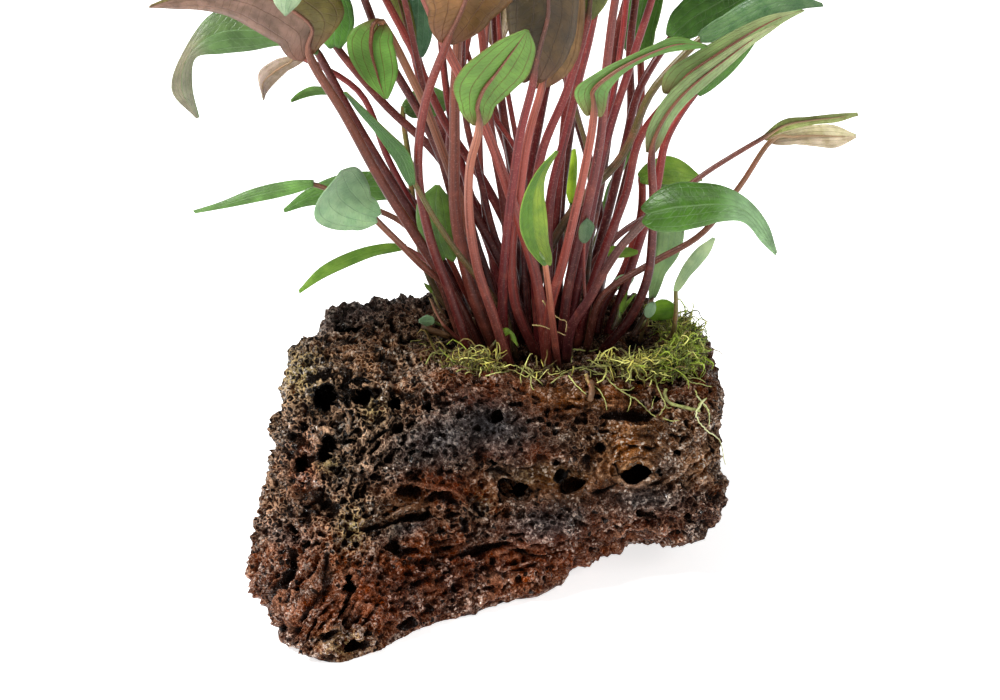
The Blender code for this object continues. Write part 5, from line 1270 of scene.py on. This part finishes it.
def flows(points, px, py, front):
    """Height in mm and crests of the lines that the flowing lava left, and where the swirl lies."""
    height = np.zeros(len(points))
    crest = np.zeros(len(points))
    for cx, cy, wide, high, turn, long, spacing, amount in FLOWS:
        share = region_share(px, py, [(cx, cy, wide, high, 0, 1.0)]) * front
        near = np.flatnonzero(share > 0.05)
        a = math.radians(turn)
        x = px[near] - cx
        y = py[near] - cy
        along = (x * math.cos(a) + y * math.sin(a)) / long
        across = (y * math.cos(a) - x * math.sin(a)) / spacing
        ridges = flow_ridges(np.column_stack((along + cx, across, points[near, 1] * 60.0)))
        height[near] += ridges * share[near] * amount
        crest[near] = np.maximum(crest[near], ridges * share[near])
    x = (px - SWIRL[0]) / 1.45
    y = py - SWIRL[1] + 0.10 * (px - SWIRL[0])
    y = np.where(y < 0.0, y * 0.85, y * 1.5)
    distance = np.hypot(x, y) + noise_rows(points, 170.0, 41.0) * 5.0
    distance = np.maximum(distance, 0.1)
    ring = smooth(12.5, 17.0, distance) * (1.0 - smooth(26.0, 40.0, distance)) * front
    near = np.flatnonzero(ring > 0.02)
    rows = np.column_stack((x / distance * 0.9, y / distance * 0.9, distance / 6.5))[near]
    ridges = flow_ridges(rows)
    height[near] = height[near] * (1.0 - ring[near]) + ridges * ring[near] * 1.3
    crest[near] = crest[near] * (1.0 - ring[near]) + ridges * ring[near] * 0.8
    return height, np.clip(crest, 0.0, 1.0), ring


def stone_height(points, px, py, front, shares):
    """Height in mm of the stone's lumps and ridges, its crests, and where the swirl lies."""
    coal, glaze = shares["coal"], shares["glaze"] * front
    lines, crest, ring = flows(points, px, py, front)
    crags = craggy(points, 85.0, 4.0) * (2.2 - 1.4 * glaze - 0.8 * coal) * (0.5 + 0.5 * front)
    height = noise_rows(points, 110.0, 3.0) * 1.5 + crags
    height += craggy(points, 260.0, 9.0) * (0.70 - 0.40 * glaze)
    height += noise_rows(points, 640.0, 5.0) * (0.36 - 0.20 * glaze)
    return height * (1.0 - 0.75 * ring) + lines, crest, ring


def line_reach(px, py, route):
    """Distance in px from each point to a drawn line, and how far along it the nearest place is."""
    best = np.full(len(px), 1e9)
    along = np.zeros(len(px))
    steps = len(route) - 1
    for k in range(steps):
        (ax, ay), (bx, by) = route[k], route[k + 1]
        dx, dy = bx - ax, by - ay
        t = np.clip(((px - ax) * dx + (py - ay) * dy) / (dx * dx + dy * dy), 0.0, 1.0)
        distance = np.hypot(px - ax - t * dx, py - ay - t * dy)
        nearer = distance < best
        best = np.where(nearer, distance, best)
        along = np.where(nearer, (k + t) / steps, along)
    return best, along


def drawn_lines(px, py, front, lines):
    """Size in mm and strength at each point of the grooves or ridges that a list draws."""
    size = np.zeros(len(px))
    strength = np.zeros(len(px))
    for route, half, amount, tone in lines:
        distance, along = line_reach(px, py, route)
        taper = np.sin(np.clip(along, 0.04, 0.96) * math.pi) ** 0.5
        share = np.exp(-(distance / (half * 1.2 * taper)) ** 2) * front
        size = np.maximum(size, share * amount * taper)
        strength = np.maximum(strength, share * tone)
    return size, strength


def bowls(px, py, front):
    """Depth in mm and darkness of the painted shade in the bowls, and height in mm and paleness of their
    rims.
    """
    drop, dark, rise, pale = np.zeros((4, len(px)))
    for cx, cy, wide, high, turn, depth, darkness, rim, rim_tone in BOWLS:
        a = math.radians(turn)
        x = (px - cx) * math.cos(a) + (py - cy) * math.sin(a)
        y = (py - cy) * math.cos(a) - (px - cx) * math.sin(a)
        d = np.hypot(x / wide, y / high)
        blur = 0.45 if darkness < 0.7 else 0.0
        inner = (1.0 - smooth(0.78 - blur, 1.04, d)) * front
        black = (1.0 - smooth(0.98 - blur, 1.12, d)) * front
        lip = np.exp(-((d - 1.22) * min(wide, high) / 1.9) ** 2) * front
        drop = np.maximum(drop, inner * depth)
        dark = np.maximum(dark, black * darkness)
        rise = np.maximum(rise, lip * rim)
        pale = np.maximum(pale, lip * rim_tone)
    return drop, dark, rise, pale


def stone_foam(points, shares, front):
    """Depth in mm and share of hollow of the stone's bubbles, by three sizes of cell."""
    froth, coal, rust, glaze = (shares[name] for name in ("froth", "coal", "rust", "glaze"))
    froth = np.where(front > 0.2, froth, 0.5)
    bend = np.stack([noise_rows(points, 210.0, s) for s in (1.0, 7.0, 13.0)], axis=1)
    warped = points + bend * 0.0014
    drop = np.zeros(len(points))
    hollow = np.zeros(len(points))
    layers = (
        (2.0, 0.10 + 0.40 * froth, 4.2),
        (5.0, 0.18 + 0.54 * froth - 0.06 * coal - 0.12 * rust, 3.0),
        (8.0, 0.24 + 0.44 * froth - 0.10 * coal - 0.14 * rust, 1.9),
    )
    for size, (seed, likely, depth) in zip(BUBBLES, layers):
        deep, chance = foam(warped, size, seed)
        likely = likely * (1.0 - 0.85 * glaze * front)
        gate = 1.0 - smooth(-0.03, 0.03, chance - likely)
        inner = deep * gate
        depth = depth * (0.55 + 0.45 * froth)
        drop = np.maximum(drop, inner * depth * (0.6 + 0.8 * chance / np.maximum(likely, 0.05)))
        hollow = np.maximum(hollow, inner)
    return np.minimum(drop, DEEPEST_BUBBLE), hollow


def remeshed_stone():
    """The stone's solid as an even fine mesh, and the tree of the solid itself."""
    stone = solid_copy("lava_stone", "lava_stone_skin")
    tree = surface_tree(stone.data)
    apply_modifier(stone, "REMESH", mode="VOXEL", voxel_size=settings().stone.face_size)
    apply_modifier(stone, "SMOOTH", factor=0.5, iterations=4)
    finer_front(stone)
    return stone, tree


def finer_front(stone):
    """Splits each face that the front view shows into four."""
    points, normals = body_arrays(stone)
    px, py = pixels_of(points)
    shown = (-(normals @ FORWARD) > 0.22) & ((py > 350.0) | (px < 440.0))
    only(stone)
    bpy.ops.object.mode_set(mode="EDIT")
    bpy.ops.mesh.select_mode(type="VERT")
    bpy.ops.mesh.select_all(action="DESELECT")
    bpy.ops.object.mode_set(mode="OBJECT")
    stone.data.vertices.foreach_set("select", shown)
    bpy.ops.object.mode_set(mode="EDIT")
    bpy.ops.mesh.select_mode(type="FACE")
    bpy.ops.mesh.subdivide(number_cuts=1, smoothness=0.0)
    bpy.ops.mesh.vertices_smooth(factor=0.5, repeat=2)
    bpy.ops.object.mode_set(mode="OBJECT")


def thin_out(stone, values):
    """Takes faces out where they are least missed, and carries the values over."""
    points, _ = body_arrays(stone)
    tree = point_tree(points)
    triangles = sum(len(p.vertices) - 2 for p in stone.data.polygons)
    if triangles > MOST_TRIANGLES:
        apply_modifier(stone, "DECIMATE", ratio=MOST_TRIANGLES / triangles)
    kept, _ = body_arrays(stone)
    nearest = np.array([tree.find(point)[1] for point in kept])
    for name, row in values.items():
        set_values(stone, name, row[nearest])


def wavering(px, py, points):
    """Places in the view, moved a little so that a drawn line isn't even."""
    moved = []
    for place, seed in ((px, 31.0), (py, 37.0)):
        broad = noise_rows(points, 200.0, seed)
        moved.append(place + broad * 2.6 + noise_rows(points, 800.0, seed + 2.0) * 0.6)
    return moved


def build_stone():
    """The stone: its solid remeshed fine, then roughened, grooved and pitted."""
    stone, tree = remeshed_stone()
    points, normals = body_arrays(stone)
    px, py = pixels_of(points)
    front = smooth(-0.15, 0.25, -(normals @ FORWARD))
    shares = {name: region_share(px, py, spots) for name, spots in REGIONS.items()}
    height, crest, ring = stone_height(points, px, py, front, shares)
    bubbles, bubble_hollow = stone_foam(points, shares, front)
    uneven = noise_rows(points, 500.0, 17.0) * 0.0004
    pits, pit_hollow = pit_drop(points + normals * uneven[:, None], *seen_pits(tree))
    wavy_x, wavy_y = wavering(px, py, points)
    bowl, bowl_dark, rim, rim_tone = bowls((px + wavy_x) / 2, (py + wavy_y) / 2, front)
    groove, groove_dark = drawn_lines(wavy_x, wavy_y, front, GROOVES)
    ridge, ridge_tone = drawn_lines(wavy_x, wavy_y, front, RIDGES)

    # Bubbles keep clear of what is drawn, and the foot and the underside stay nearly flat
    taken = (ring * 0.9, smooth(0.1, 0.4, bowl_dark), ridge_tone, smooth(0.15, 0.5, groove_dark), crest * 0.7)
    clear = 1.0 - np.clip(np.maximum.reduce(taken), 0.0, 1.0)
    drop = np.maximum.reduce((pits, bubbles * clear, bowl + groove * 0.4, groove))
    height = height * (1.0 - 0.5 * smooth(0.2, 0.6, bowl_dark)) + np.maximum(ridge, rim)
    upright = np.maximum(smooth(0.0005, 0.005, points[:, 2]), 0.5 * smooth(-0.8, -0.3, normals[:, 2]))
    height = (height * settings().stone.roughness - drop) * upright

    # Half of the broad height is taken back, so the stone keeps its solid's size and stays in its box
    height -= local_average(stone, height, BROAD_ROUNDS) * 0.5
    fine = local_average(stone, height, FINE_ROUNDS) - height
    cavity = fine + 0.5 * (local_average(stone, height, MIDDLE_ROUNDS) - height)
    moved = points + normals * (height * MM)[:, None]
    moved[:, 2] = np.maximum(moved[:, 2], 0.0)
    moved[:, 1] = np.clip(moved[:, 1], CAD_LOW[1], CAD_HIGH[1])
    stone.data.vertices.foreach_set("co", moved.ravel())
    stone.data.update()
    # Painted shade goes in hollows and low places (hollow, cavity); painted highlights keep to raised parts
    hollow = np.maximum.reduce((pit_hollow, bubble_hollow * clear * 0.6, bowl_dark, groove_dark))
    values = {"hollow": hollow, "cavity": np.clip(cavity / 1.9, -1.0, 1.0), "crest": crest,
              "edge": np.maximum(ridge_tone, rim_tone)}
    values.update(shares)
    values["gain"] = 0.58 + 0.92 * shares["gain"]
    thin_out(stone, values)
    shade_smooth(stone)
    stone.data.materials.append(stone_material())
    return stone


def seen_pits(tree):
    """Centres, radii and depths of the pits that the view shows."""
    centres = []
    radii = []
    depths = []
    for px, py, wide, high, depth in SEEN_PITS:
        along = (1.0, 0.0) if wide >= high else (0.0, 1.0)
        size = min(wide, high)
        reach = (max(wide, high) - size) / 2
        steps = 1 + int(reach * 2 / (size * 0.5))
        for k in range(steps):
            t = 0.0 if steps == 1 else (2.0 * k / (steps - 1) - 1.0) * reach
            place = seen_on(tree, px + along[0] * t, py + along[1] * t)
            if place is not None:
                centres.append(np.array(place))
                radii.append(size * PIXEL * 0.5 * 1.05)
                depths.append(depth)
    return centres, radii, depths


# Where the moss grows thick in the view: (px, py, half width, half height, turn in degrees, share)
MOSS_SPOTS = [
    (480, 364, 15, 14, 0, 0.72), (460, 364, 16, 10, 0, 0.3), (520, 374, 30, 7, 0, 0.06),
    (622, 324, 18, 18, 0, 0.9), (634, 347, 24, 17, -10, 1.0), (600, 352, 16, 9, 0, 0.55),
    (662, 357, 15, 9, 0, 0.9), (688, 346, 22, 22, 0, 1.4), (545, 366, 34, 12, 0, 0.09),
]
MOSS_TONES = {
    "brown": (0.13, 0.075, 0.02), "deep": (0.26, 0.36, 0.03), "pale": (0.74, 0.73, 0.21),
    "yellow": (0.62, 0.55, 0.11),
}

# How common brown strands are, up to a px of the view
BROWN_SHARES = ((504.0, 1.10), (588.0, 0.8), (math.inf, 0.12))

# Long loose strands and short fine ones: step in metres, how much they turn, radius as a share of the
# setting, how far they may stray from the cushion in metres
LOOSE = ((0.0008, 0.0013), 0.22, (0.26, 0.42), 0.0030)
SHORT = ((0.00035, 0.00075), 0.40, (0.16, 0.30), 0.0014)
MOSS_SEED = 7
MOSS_SIDES = 4


def scatter(rng, *spreads):
    """Random vector, with one spread for each direction."""
    return Vector([rng.gauss(0, spread) for spread in spreads])


def build_moss():
    """Tangle of strands that grows in the form of the moss cushion."""
    mesh = welded_mesh(frame["nodes"]["moss_cushion"])
    mesh.faces.ensure_lookup_table()
    tree = BVHTree.FromBMesh(mesh)
    chosen = settings().moss
    rng = random.Random(MOSS_SEED)
    areas = [f.calc_area() for f in mesh.faces]
    paths = []
    shades = []
    while len(paths) < chosen.strands:
        face = rng.choices(mesh.faces, areas)[0]
        a, b, c = (v.co for v in face.verts[:3])
        x, y = sorted((rng.random(), rng.random()))
        start = a * x + b * (y - x) + c * (1.0 - y)
        px, py = pixels_of(np.array([start]))
        thick = max(0.02, float(region_share(px, py, MOSS_SPOTS)[0]))
        if rng.random() * 1.4 > thick:
            continue
        px = float(px[0])
        olive = float(smooth(640.0, 668.0, px)) * rng.uniform(0.4, 1.0)
        brown = next(share for limit, share in BROWN_SHARES if px < limit)
        path, tones = moss_strand(start, face.normal, tree, rng, olive, brown, chosen.thickness)
        paths.append(path)
        shades.extend(tones)
    mesh.free()
    moss = tube_mesh("moss_tangle", paths, MOSS_SIDES)
    set_colours(moss, "shade", np.repeat(np.array(shades), MOSS_SIDES, axis=0))
    moss.data.materials.append(moss_material())
    return moss


def moss_strand(start, normal, tree, rng, olive, brown, thickness):
    """One wandering strand, long and loose or short and fine, that stays near the cushion."""
    steps, bend, radii, stray = LOOSE if rng.random() < 0.35 * (1.0 - 0.6 * olive) else SHORT
    heading = scatter(rng, 1, 1, 0.7)
    heading = (heading + normal * rng.uniform(0.2, 1.3)).normalized()
    place = Vector(start) - normal * rng.uniform(0.0004, 0.0026)
    count = rng.randint(8, 12)
    step = rng.uniform(*steps)
    turn = scatter(rng, 1, 1, 1) * bend
    radius = thickness * rng.uniform(*radii)
    green = 1.0 - olive
    weights = (brown, 0.08 + olive, 0.50 * green + 0.02, 0.30 * green + 0.02)
    name = rng.choices(tuple(MOSS_TONES), weights)[0]
    # Painted shade: about half the strands are darkened, for strands deep in the tangle, and the rest are
    # lightened
    tone = np.array(MOSS_TONES[name]) * rng.choice((rng.uniform(0.15, 0.5), rng.uniform(1.0, 1.6)))
    path = []
    tones = []
    for k in range(count):
        t = k / (count - 1)
        path.append((*place, radius * (1.0 - 0.7 * t * t)))
        # Each strand is darker towards its foot
        tones.append(tone * (0.35 + 0.65 * min(1.0, t * 2.5)))
        heading = heading + turn * 0.6 + scatter(rng, 0.22, 0.22, 0.22)
        near, _, _, distance = tree.find_nearest(place)
        if near is not None and distance > stray:
            heading = heading + (near - place).normalized() * 0.8 + Vector((0.0, 0.0, -0.25))
        heading.normalize()
        place = place + heading * step
    return path, tones


# Strands, fibres and fine roots over the stone, by kind: points (px, py) and radius in mm
STRANDS = {
    "moss": [
        ([(426, 364), (433, 353), (451, 351), (464, 348)], 0.28),
        ([(434, 353), (446, 355), (455, 365)], 0.2),
        ([(452, 357), (466, 353)], 0.18),
        ([(481, 335), (475, 342), (469, 352), (464, 366)], 0.22),
        ([(456, 372), (462, 369), (470, 370)], 0.2),
        ([(465, 374), (469, 372), (475, 374)], 0.16),
        ([(479, 377), (482, 369), (484, 365)], 0.18),
        ([(490, 353), (501, 358), (511, 363), (523, 370), (534, 377), (543, 385)], 0.28),
        ([(527, 361), (521, 374), (521, 383)], 0.22),
        ([(531, 377), (531, 385), (534, 390)], 0.18),
        ([(486, 376), (496, 373), (511, 371)], 0.2),
        ([(551, 383), (558, 378), (564, 375)], 0.2),
        ([(570, 349), (581, 350), (592, 351), (604, 346)], 0.26),
        ([(572, 345), (572, 354), (571, 363)], 0.2),
        ([(597, 347), (601, 353), (609, 357)], 0.2),
        ([(560, 375), (571, 370), (582, 368), (596, 372), (604, 375), (611, 383), (620, 390), (630, 396),
          (638, 401), (649, 412), (656, 417)], 0.27),
        ([(569, 376), (576, 385), (586, 394)], 0.22),
        ([(593, 386), (600, 391), (605, 401), (607, 410)], 0.22),
        ([(606, 362), (607, 366), (605, 370)], 0.18),
        ([(612, 359), (619, 366), (629, 364), (634, 352), (636, 344)], 0.22),
        ([(651, 321), (653, 328), (648, 334)], 0.2),
        ([(657, 361), (655, 370), (656, 381), (660, 393), (665, 405), (659, 415)], 0.26),
        ([(665, 405), (668, 408), (671, 408)], 0.18),
        ([(667, 364), (671, 373), (672, 381)], 0.2),
        ([(669, 363), (679, 362), (685, 371), (691, 377)], 0.22),
        ([(684, 359), (690, 367), (692, 376)], 0.2),
        ([(669, 366), (681, 375), (690, 382), (700, 384), (712, 387)], 0.24),
        ([(685, 375), (687, 380), (687, 385)], 0.16),
        ([(695, 391), (700, 400), (708, 411), (709, 420)], 0.22),
        ([(707, 398), (700, 403), (696, 414)], 0.2),
        ([(655, 396), (653, 402), (651, 409)], 0.16),
        ([(631, 398), (630, 405), (627, 412)], 0.18),
        ([(621, 390), (630, 390), (634, 387)], 0.18),
        ([(688, 378), (697, 378), (705, 382)], 0.18),
        ([(663, 418), (671, 421), (679, 420)], 0.18),
    ],
    "long": [
        ([(705, 399), (696, 413), (701, 424), (709, 432), (720, 441), (725, 465)], 0.26),
        ([(697, 396), (709, 411), (709, 426)], 0.2),
    ],
    "dry": [
        ([(532, 325), (541, 326), (553, 330), (565, 335)], 0.22),
        ([(543, 300), (550, 311), (558, 318), (566, 322), (566, 332)], 0.2),
    ],
    "root": [
        ([(586, 374), (589, 384), (593, 394)], 0.6),
    ],
}
STRAND_TONES = {
    "moss": (0.40, 0.42, 0.13), "long": (0.56, 0.58, 0.30), "dry": (0.46, 0.33, 0.14),
    "root": (0.16, 0.055, 0.028),
}
STRAND_SEED = 19
STRAND_SIDES = 6

# Depth in mm of the dry fibres, which hang between the stalks, and how far a strand lies clear of the stone
DRY_DEPTH = 3.3
CLEAR = 0.15

# Points to a drawn one, and how many of them a strand bridges and evens out
FINE_STEPS = 6
BRIDGED = 7
EVENED = 5


def fine_route(route):
    """A drawn line with more points, smoothly curved."""
    steps = np.linspace(0.0, len(route) - 1, len(route) * FINE_STEPS)
    return along_curve(np.array(route, dtype=float), steps)


def windows(values, size):
    """The values round each value, size of them in a row."""
    wide = np.pad(values, size // 2, mode="edge")
    return [wide[k:k + size] for k in range(len(values))]


def laid_over(tree, line, lift):
    """Points of a strand that lies over the stone along a line of the view and bridges its pits."""
    found = [seen_on(tree, px, py) for px, py in line]
    first = next(place.y for place in found if place is not None)
    depths = []
    for place in found:
        depths.append(place.y if place is not None else (depths[-1] if depths else first))
    near = np.array([few.min() for few in windows(np.array(depths), BRIDGED)])
    even = [few.mean() for few in windows(near, EVENED)]
    return np.array([seen_at(px, py, y / MM - lift) for (px, py), y in zip(line, even)])


def strand_line(tree, kind, route, radius):
    """Points of a strand: a dry fibre hangs between the stalks and any other lies over the stone."""
    line = fine_route(route)
    if kind == "dry":
        return np.array([seen_at(px, py, DRY_DEPTH) for px, py in line])
    return laid_over(tree, line, radius + CLEAR)


def build_strands(tree):
    """Single strands, dry fibres and the long pale one that hangs past the right edge."""
    rng = random.Random(STRAND_SEED)
    paths = []
    shades = []
    for kind, drawn in STRANDS.items():
        for route, radius in drawn:
            fine = strand_line(tree, kind, route, radius)
            tone = np.array(STRAND_TONES[kind]) * rng.uniform(0.7, 1.2)
            for k in range(len(fine)):
                fine[k] += np.array([rng.gauss(0.0, 0.00008) for _ in range(3)])
                shades.append(tone * rng.uniform(0.75, 1.15))
            taper = np.linspace(1.0, 0.55, len(fine))
            paths.append(np.column_stack((fine, radius * MM * taper)))
    body = tube_mesh("single_strands", paths, STRAND_SIDES)
    set_colours(body, "shade", np.repeat(np.array(shades), STRAND_SIDES, axis=0))
    body.data.materials.append(moss_material())
    return body


def build_root(name):
    """A knobbly root in the place of its solid."""
    root = solid_copy(name, name + "_skin")
    apply_modifier(root, "SUBSURF", levels=2, render_levels=2)
    points, normals = body_arrays(root)
    swell = noise_rows(points, 900.0, 2.0) * 0.00015
    root.data.vertices.foreach_set("co", (points + normals * (swell + 0.00008)[:, None]).ravel())
    root.data.update()
    return root


ROOT_TONES = {
    "thick_root": (0.16, 0.075, 0.030), "hanging_root": (0.33, 0.36, 0.11),
    "cut_stalk_stub": (0.115, 0.055, 0.018),
}


def release(body, slot, *nodes):
    """Puts a finished piece on the body and hides the solids that it stands for; the slot it is given is not
    used.
    """
    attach(body, BODY)
    if nodes:
        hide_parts(*nodes)


def slot_of(node):
    """The record's slot of a node."""
    for part in frame["record"]["subparts"]:
        if part["node"] == node:
            return part["material_slot"]
    raise KeyError(node)


# Settings
class StoneSettings(bpy.types.PropertyGroup):
    """Sizes of the stone's surface."""

    face_size: bpy.props.FloatProperty(
        name="Face size", description="Spacing of the stone's fine faces", default=0.0009, min=0.0005,
        unit="LENGTH")
    roughness: bpy.props.FloatProperty(
        name="Roughness", description="How strong the lumps and crumbs stand out", default=1.0, min=0.0,
        subtype="FACTOR")


class LeafSettings(bpy.types.PropertyGroup):
    """Thickness and colours of the leaves."""

    blade_thickness: bpy.props.FloatProperty(
        name="Blade thickness", description="Thickness of a leaf blade", default=0.00042, min=0.0001,
        unit="LENGTH")
    upper_colour: bpy.props.FloatVectorProperty(
        name="Upper colour", description="Colour of a blade's upper face", subtype="COLOR",
        default=(0.105, 0.245, 0.036), min=0.0, max=1.0)
    under_colour: bpy.props.FloatVectorProperty(
        name="Underside colour", description="Colour of a blade's light underside", subtype="COLOR",
        default=(0.155, 0.300, 0.052), min=0.0, max=1.0)


class MossSettings(bpy.types.PropertyGroup):
    """Amount and thickness of the moss."""

    strands: bpy.props.IntProperty(
        name="Strands", description="How many strands the tangle has", default=1600, min=1)
    thickness: bpy.props.FloatProperty(
        name="Thickness", description="Thickness of a strand", default=0.0007, min=0.0001, unit="LENGTH")


class StageSettings(bpy.types.PropertyGroup):
    """Light and floor."""

    key_power: bpy.props.FloatProperty(
        name="Key light", description="Strength of the main light", default=4.25, min=0.0)
    fill_power: bpy.props.FloatProperty(
        name="Fill light", description="Strength of the fill light", default=0.8, min=0.0)
    sky_strength: bpy.props.FloatProperty(
        name="Surroundings", description="Brightness of the white surroundings", default=0.26, min=0.0)
    floor_colour: bpy.props.FloatVectorProperty(
        name="Floor colour", description="Colour of the floor", subtype="COLOR", default=(0.95, 0.95, 0.95),
        min=0.0, max=1.0)


class PlantSettings(bpy.types.PropertyGroup):
    """All settings of the piece."""

    stone: bpy.props.PointerProperty(type=StoneSettings)
    leaves: bpy.props.PointerProperty(type=LeafSettings)
    moss: bpy.props.PointerProperty(type=MossSettings)
    stage: bpy.props.PointerProperty(type=StageSettings)


# Operators
class PLANT_OT_stone(bpy.types.Operator):
    """Build the lava stone with its pits, lumps and wet finish"""

    bl_idname = "plant.stone"
    bl_label = "Lava stone"

    def execute(self, context):
        stone = build_stone()
        release(stone, slot_of("lava_stone"), "lava_stone")
        return {"FINISHED"}


class PLANT_OT_leaves(bpy.types.Operator):
    """Build every leaf, from its foot on the stone to its tip"""

    bl_idname = "plant.leaves"
    bl_label = "Leaves"

    def execute(self, context):
        materials = leaf_materials()
        for name in sorted(n for n in frame["nodes"] if n.startswith("leaf_")):
            look = LOOKS.get(name) or Look()
            leaf = Leaf.from_node(frame["nodes"][name])
            leaf.rows[:, 2] *= look.hollow
            body = build_leaf(name, leaf, look, look.heart, materials)
            release(body, slot_of(name), name)
        for name, look, *form in SMALL_LEAVES:
            body = build_leaf(name, Leaf.from_view(*form), look, 0.0, materials, SMALL_GRID)
            release(body, "leaf_green")
        return {"FINISHED"}


class PLANT_OT_moss(bpy.types.Operator):
    """Build the moss tangle round the crown and the single strands over the stone"""

    bl_idname = "plant.moss"
    bl_label = "Moss"

    def execute(self, context):
        stone = bpy.data.objects.get("lava_stone_skin")
        if stone is None:
            raise RuntimeError("The strands lie on the stone, which isn't built yet")
        release(build_moss(), "moss", "moss_cushion")
        release(build_strands(surface_tree(stone.data)), "moss")
        return {"FINISHED"}


class PLANT_OT_roots(bpy.types.Operator):
    """Build the roots over the front of the stone and the cut stalk end"""

    bl_idname = "plant.roots"
    bl_label = "Roots"

    def execute(self, context):
        material = root_material()
        for name, tone in ROOT_TONES.items():
            root = build_root(name)
            set_colours(root, "shade", np.tile(tone, (len(root.data.vertices), 1)))
            root.data.materials.clear()
            root.data.materials.append(material)
            shade_smooth(root)
            release(root, slot_of(name), name)
        return {"FINISHED"}


class PLANT_OT_stage(bpy.types.Operator):
    """Set up the pale floor, the soft lights and the camera"""

    bl_idname = "plant.stage"
    bl_label = "Stage"

    def execute(self, context):
        chosen = settings().stage
        build_floor(chosen)
        build_lights(chosen)
        build_camera()
        return {"FINISHED"}


def build_floor(chosen):
    """Wide floor that the stone stands on."""
    deselect()
    bpy.ops.mesh.primitive_grid_add(x_subdivisions=2, y_subdivisions=2, size=8.0)
    floor = bpy.context.object
    floor.name = "floor"
    floor.data.materials.append(floor_material(tuple(chosen.floor_colour)))


def add_light(name, place, target, width, strength):
    """Broad far light that points at a target."""
    data = bpy.data.lights.new(name, "SUN")
    data.angle = width
    data.energy = strength
    turn = (Vector(target) - Vector(place)).to_track_quat("-Z", "Y").to_matrix().to_4x4()
    new_object(name, data).matrix_world = Matrix.Translation(Vector(place)) @ turn


def build_lights(chosen):
    """White surroundings, a key light from the upper left and a weaker fill from the right."""
    world = bpy.data.worlds.new("white_room")
    world.use_nodes = True
    back = world.node_tree.nodes["Background"]
    back.inputs["Color"].default_value = (1.0, 1.0, 1.0, 1.0)
    back.inputs["Strength"].default_value = chosen.sky_strength
    bpy.context.scene.world = world
    target = (0.0, 0.01, 0.08)
    add_light("key_light", (-0.60, -0.28, 0.90), target, math.radians(14.0), chosen.key_power)
    add_light("fill_light", (0.70, -0.60, 0.60), target, math.radians(40.0), chosen.fill_power)
    bpy.context.scene.view_settings.view_transform = "Standard"


def build_camera():
    """Camera at the photograph's angle."""
    data = bpy.data.cameras.new("camera")
    data.sensor_width = 36.0
    data.lens = data.sensor_width * VIEW_DISTANCE / (VIEW_WIDTH * PIXEL)
    data.clip_end = 20.0
    camera = new_object("camera", data)
    camera.location = EYE
    camera.rotation_euler = (math.pi / 2 - VIEW_TILT, 0.0, 0.0)
    bpy.context.scene.camera = camera


class PLANT_PT_panel(bpy.types.Panel):
    """Lists the settings and the steps"""

    bl_label = "Plant on lava stone"
    bl_idname = "PLANT_PT_panel"
    bl_space_type = "VIEW_3D"
    bl_region_type = "UI"
    bl_category = "Plant"

    def draw(self, context):
        layout = self.layout
        chosen = context.scene.plant_settings
        for group, fields, step in (
            (chosen.stone, ("face_size", "roughness"), "plant.stone"),
            (chosen.leaves, ("blade_thickness", "upper_colour", "under_colour"), "plant.leaves"),
            (chosen.moss, ("strands", "thickness"), "plant.moss"),
            (chosen.stage, ("key_power", "fill_power", "sky_strength", "floor_colour"), "plant.stage"),
        ):
            for field in fields:
                layout.prop(group, field)
            layout.operator(step)
        layout.operator("plant.roots")


CLASSES = (
    StoneSettings, LeafSettings, MossSettings, StageSettings, PlantSettings,
    PLANT_OT_stone, PLANT_OT_leaves, PLANT_OT_moss, PLANT_OT_roots, PLANT_OT_stage, PLANT_PT_panel,
)


def register():
    """Adds the classes and the settings."""
    for item in CLASSES:
        bpy.utils.register_class(item)
    bpy.types.Scene.plant_settings = bpy.props.PointerProperty(type=PlantSettings)


def unregister():
    """Removes the settings and the classes."""
    del bpy.types.Scene.plant_settings
    for item in reversed(CLASSES):
        bpy.utils.unregister_class(item)


def main():
    """Builds every piece in order."""
    register()
    bpy.ops.plant.stone()
    bpy.ops.plant.leaves()
    bpy.ops.plant.moss()
    bpy.ops.plant.roots()
    bpy.ops.plant.stage()


if __name__ == "__main__":
    main()
